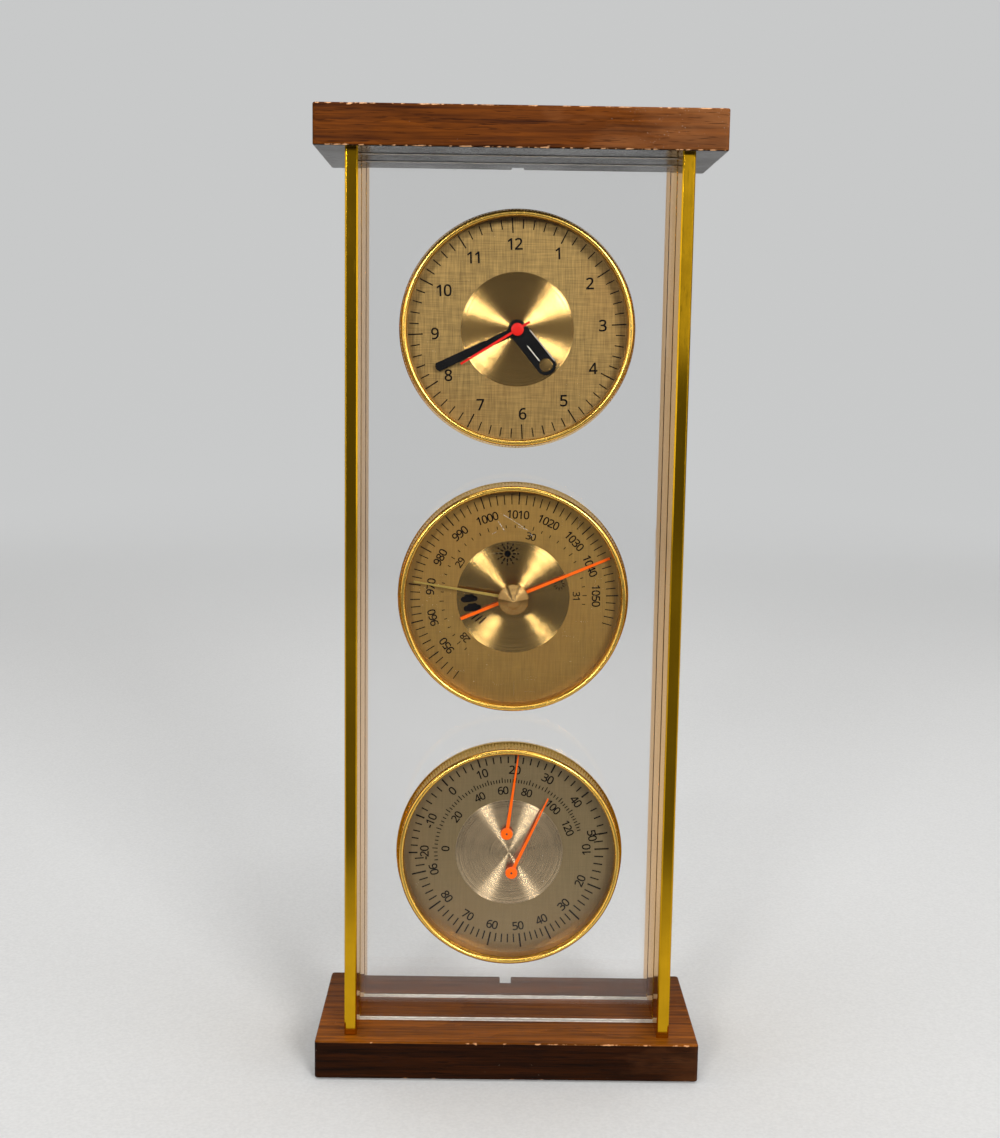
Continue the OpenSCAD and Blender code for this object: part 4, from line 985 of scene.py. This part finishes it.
# --- Thermometer and hygrometer dial ---
# A paler, champagne-coloured dial: degrees Celsius outside and Fahrenheit inside along the
# top, and percent humidity along the bottom.
clad(metal("bimetal_strip", linear(170, 110, 70), 0.3, (200, 2000, 200), linear(120, 84, 56)),
     "temperature_coil")
clad(metal("humidity_strip", linear(196, 192, 178), 0.36, (200, 2000, 200), linear(150, 146, 132)),
     "humidity_coil")
clad(linen_dial("thermo_linen", linear(140, 121, 86), 0.35, 0.2, 0.08), "thermo_dial")
pivots = {"temperature": (-0.873 * mm, 79.742 * mm), "humidity": (0.873 * mm, 66.658 * mm)}
celsius = {-20: -91.0, -10: -68.1, 0: -42.5, 10: -19.0, 20: 3.1, 30: 26.3, 40: 51.2, 50: 77.7}
humidity = {10: 87.3, 20: 112.0, 30: 134.1, 40: 154.3, 50: 172.4, 60: 191.8, 70: 211.4, 80: 232.7,
            90: 256.0}
fahrenheit = {0: -87.5, 20: -55.7, 40: -28.1, 60: -6.1, 80: 15.3, 100: 42.8, 120: 66.6}
bars = scale_bars(celsius, range(-20, 52, 2), 30.6, (33.6, 32.9), (0.52, 0.42))
bars += scale_bars(fahrenheit, range(-6, 126, 2), 23.9, (25.7, 25.1), (0.32, 0.32))
bars += scale_bars(humidity, range(6, 96, 2), 28.6, (33.4, 31.6), (0.52, 0.42))
printed = [print_bars("thermo_marks", thermo_z, bars)]
printed += print_scale(thermo_z, celsius, 28.3, 2.8)
printed += print_scale(thermo_z, fahrenheit, 21.3, 2.6)
printed += print_scale(thermo_z, humidity, 25.9, 2.8, turned_by=180)
gather("thermo_printing", printed, "thermo_dial")


def lay_disc_round_pivots(name, z, radius, material, slot):
    """The spun centre with a clearance hole for each needle's arbor."""
    circle(0, dial_face, z, radius, 128)
    disc = begin(name)
    for x, height in pivots.values():
        circle(x, dial_face, height, 1.0 * mm, 32)
    raise_outline(-0.03 * mm)
    finish(disc, material, "frame", slot)


lay_disc_round_pivots("thermo_spun_centre", thermo_z, 18.0 * mm,
                      spun_disc("thermo_spun", linear(198, 174, 138), thermo_z, 0.24),
                      "thermo_dial")

# --- Thermometer and hygrometer needles ---
# Two tapered orange-red needles, each on a round hub pressed on a thin steel arbor, whose
# dark end shows in the middle of the hub.
for word, depth, reach, angle in (("temperature", 2.0, 27.75, 7.4), ("humidity", 3.2, 28.3, 24.7)):
    x, z = pivots[word]
    cut_hand(word + "_needle_plate", x, z, 2.0, 0.3, [(1, reach, 1.0, 0.42, 1)], depth,
             depth + 0.35, angle, (orange, word, "needle", word + "_needle"), soft=0.06)
    hub_steps = [(0.5, 0.35), (1.9, 0.35), (1.99, 0.42), (1.99, 0.56), (1.86, 0.65), (1.4, 0.69),
                 (0.5, 0.70)]
    hub = turned(word + "_hub", x, z,
                 before_panel((0.5, -8.4), *((r, depth + d) for r, d in hub_steps)), 64)
    finish(hub, orange, word, "needle")
    pin_steps = [(0.34, 0.66), (0.34, 0.72), (0.28, 0.76), (0.1, 0.78)]
    pin = turned(word + "_pin", x, z, before_panel(*((r, depth + d) for r, d in pin_steps)), 24)
    finish(pin, black_plastic, word, "steel")

# --- Seat rings and crystals ---
# A gold ring inside each bezel lifts a flat mineral glass above the dial. The barometer's
# glass has a hole for the set hand's knob and is the most scratched.
clad(metal("ring_gold", linear(186, 140, 62), 0.3, (1600, 40, 1600), linear(128, 92, 38)),
     "seat_rings")
glass_bend = 1.3  # below that of real glass, so that the dials are veiled as little as in life
for word, wiped, dust in (("clock", 0.35, 0.0), ("baro", 1.0, 0.05), ("thermo", 0.35, 0.0)):
    clad(clear(word + "_glass", glass_bend, 0.0, wiped, dust), word + "_crystal")
scuff, shader, place = new_finish("scuffed_glass", Metallic=0.0, Roughness=0.7)
broken = cloud(place, 1800)
give(shader, Base_Color=blend(broken, linear(176, 168, 150), linear(236, 230, 216)),
     Alpha=span(broken, 0.4, 0.62, 0.15, 0.75))
glass_front, scuff_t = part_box("baro_crystal")[0].y, 0.004 * mm
scuffs = None
for x, z, length, width, angle in (
        (-4.1, 23.7, 4.2, 0.20, 146), (-2.6, 26.9, 2.5, 0.16, 120), (1.2, 24.6, 8.0, 0.15, 123),
        (2.6, 23.2, 3.4, 0.13, 108), (-6.4, 21.6, 1.8, 0.14, 60), (5.4, 21.2, 2.2, 0.12, 135)):
    x, z = x * mm, baro_z + z * mm
    circle(x, glass_front - scuff_t, z, 0.5, 12)
    scuffs = scuffs or begin("glass_scratches")
    bpy.ops.transform.resize(value=(width * mm, 1, length * mm),
                             center_override=(x, glass_front, z))
    swing(angle, x, glass_front, z)
take_all()
bpy.ops.mesh.fill_holes(sides=0)
take_all()
draw_out(0, -scuff_t, 0)
finish(scuffs, scuff, "frame", "crystal")

# --- Bezels ---
# Spun and gilded brass rings: a coin-edged skirt that slopes in toward the front, a narrow
# step, and a polished round bead that holds the glass.
flutes, flute_deep, flute_shape = 220, 0.34 * mm, (1.0, 0.5, 0.0, 0.5)
bezel_steps = [(36.2, 6.8), (36.2, 0.0), (37.5, 0.0), (37.7, 0.2), (37.7, 1.7), (37.55, 2.0),
               (37.5, 2.2), (37.5, 2.6), (37.3, 3.8), (37.05, 5.0), (36.8, 6.1), (36.74, 6.5),
               (36.6, 6.75), (36.76, 6.85), (36.84, 7.05), (36.82, 7.45), (36.68, 7.85),
               (36.42, 8.16), (36.08, 8.35), (35.75, 8.4), (35.42, 8.28), (35.16, 8.02),
               (35.0, 7.66), (34.92, 7.25), (34.9, 6.8)]


def turn_bezel(name, z):
    """Turns a bezel and presses the flutes into its skirt, fading out at both ends."""
    points = len(flute_shape)
    bezel = turned(name, 0, z, before_panel(*bezel_steps), flutes * points, ring=True)
    shape = bmesh.from_edit_mesh(bezel.data)
    for k, v in enumerate(shape.verts):
        depth = (panel_face - v.co.y) / mm
        out = hypot(v.co.x, v.co.z - z)
        if 2.4 < depth < 6.3 and out > 36.6 * mm:
            fade = min(1, (depth - 2.3) * 2.5, (6.35 - depth) * 4)
            cut = flute_shape[k % points] * flute_deep * fade
            v.co.x *= 1 - cut / out
            v.co.z = z + (v.co.z - z) * (1 - cut / out)
    bmesh.update_edit_mesh(bezel.data)
    return bezel


gilt = metal("gilt_bezel", linear(240, 194, 96), 0.23, (900, 40, 900), linear(228, 178, 72),
             groove=0.002 * mm, spread=0.06)
for word, z in (("clock", clock_z), ("baro", baro_z), ("thermo", thermo_z)):
    finish(turn_bezel(word + "_bezel_ring", z), gilt, "frame", "bezel", word + "_bezel", smooth=50)

# --- Floor, camera and lamps ---
# A pale paper sweep that fades into an even glow. Two soft lamps and a narrow card stand in
# front, a lamp hangs overhead, one lights the backdrop, and one stands at each side. The
# camera is at the photograph's place.
sweep_w, sweep_d, sweep_h, bend_r = 6, 4, 3, 0.8
bpy.ops.mesh.primitive_plane_add(size=1, location=(0, 0.2, -0.0005))
bpy.context.object.scale = (sweep_w, sweep_d, 1)
sweep = begin("paper_sweep")
pick(sweep, "EDGE", lambda e: min(v.co.y for v in e.verts) > 1)
draw_out(0, 0, sweep_h)
pick(sweep, "EDGE", lambda e: all(v.co.y > 1 and v.co.z < 0.1 for v in e.verts))
bpy.ops.mesh.bevel(offset=bend_r, segments=16)
bpy.ops.object.mode_set(mode="OBJECT")
bpy.ops.object.shade_smooth()
paper, shader, place = new_finish("paper", Roughness=0.9, Emission_Strength=1.0)
# In front of the object the paper is painted dark grey for every ray but the camera's: a painted
# dark surrounding, seen in the metals' reflections and giving less bounced light.
near = span(add(place, "SeparateXYZ", {0: place}).outputs["Y"], -0.26, -0.12)
tone = blend(widened(cloud(place, 900)), linear(214, 214, 213), linear(222, 222, 221))
path = add(place, "LightPath").outputs
seen = most(path["Is Camera Ray"], path["Is Transmission Ray"])
tone = blend(most(near, seen), linear(70, 70, 70), tone)
away = times(span(vectors("LENGTH", place, out="Value"), 0.7, 1.7), seen)
black = (0.0, 0.0, 0.0, 1.0)
give(shader, Base_Color=blend(away, tone, black),
     Emission_Color=blend(away, black, linear(198, 199, 199)))
sweep.data.materials.append(paper)


def aim(thing, place, target):
    thing.location = Vector(place)
    thing.rotation_euler = (Vector(target) - Vector(place)).to_track_quat("-Z", "Y").to_euler()


station, backdrop = (0, 0, 0.16), (0, 2.2, 0.5)
for name, place, target, size, power in (
        ("lamp_right", (0.667, -1.5, 0.734), station, (0.46, 0.40), 17),
        ("lamp_left", (-0.565, -1.5, 0.574), station, (0.27, 0.18), 8.5),
        ("lamp_top", (0.0, -0.1, 1.6), station, (1.2, 1.0), 12),
        ("lamp_wall", (0.0, 0.6, 1.7), backdrop, (1.6, 0.4), 11),
        ("side_left", (-1.5, -0.45, 0.55), station, (1.3, 1.2), 6),
        ("side_right", (1.5, -0.45, 0.55), station, (1.3, 1.2), 7),
        ("card_right", (0.25, -1.5, 0.42), station, (0.07, 0.36), 0.06)):
    lamp = bpy.data.objects.new(name, bpy.data.lights.new(name, "AREA"))
    bpy.context.scene.collection.objects.link(lamp)
    lamp.data.shape, lamp.data.size, lamp.data.size_y = "RECTANGLE", *size
    lamp.data.energy = power
    aim(lamp, place, target)
world = bpy.data.worlds.new("studio")
bpy.context.scene.world = world
world.use_nodes = True
sky = world.node_tree.nodes["Background"]
path = add(sky, "LightPath").outputs
seen = most(path["Is Camera Ray"], path["Is Transmission Ray"])
give(sky, Color=linear(236, 236, 236), Strength=span(seen, 0, 1, 0.12, 0.68))

lens = bpy.data.cameras.new("camera")
camera = bpy.data.objects.new("camera", lens)
bpy.context.scene.collection.objects.link(camera)
camera.rotation_mode = "QUATERNION"
right, up, back = ((0.99987552, -0.00604942, 0.01457189), (-0.01359915, 0.13785552, 0.99035898),
                   (-0.00799991, -0.99043387, 0.13775609))
camera.rotation_quaternion = Matrix([*zip(right, up, back)]).to_quaternion()
camera.location = (-8.34 * mm, -500.82 * mm, 236.62 * mm)
focal_length, picture_height = 1509.98, 1138  # both in the photograph's pixels
lens.lens = lens.sensor_width * focal_length / picture_height
lens.clip_start, lens.clip_end = 0.01, 20
bpy.context.scene.camera = camera
bpy.context.scene.view_settings.view_transform = "Standard"
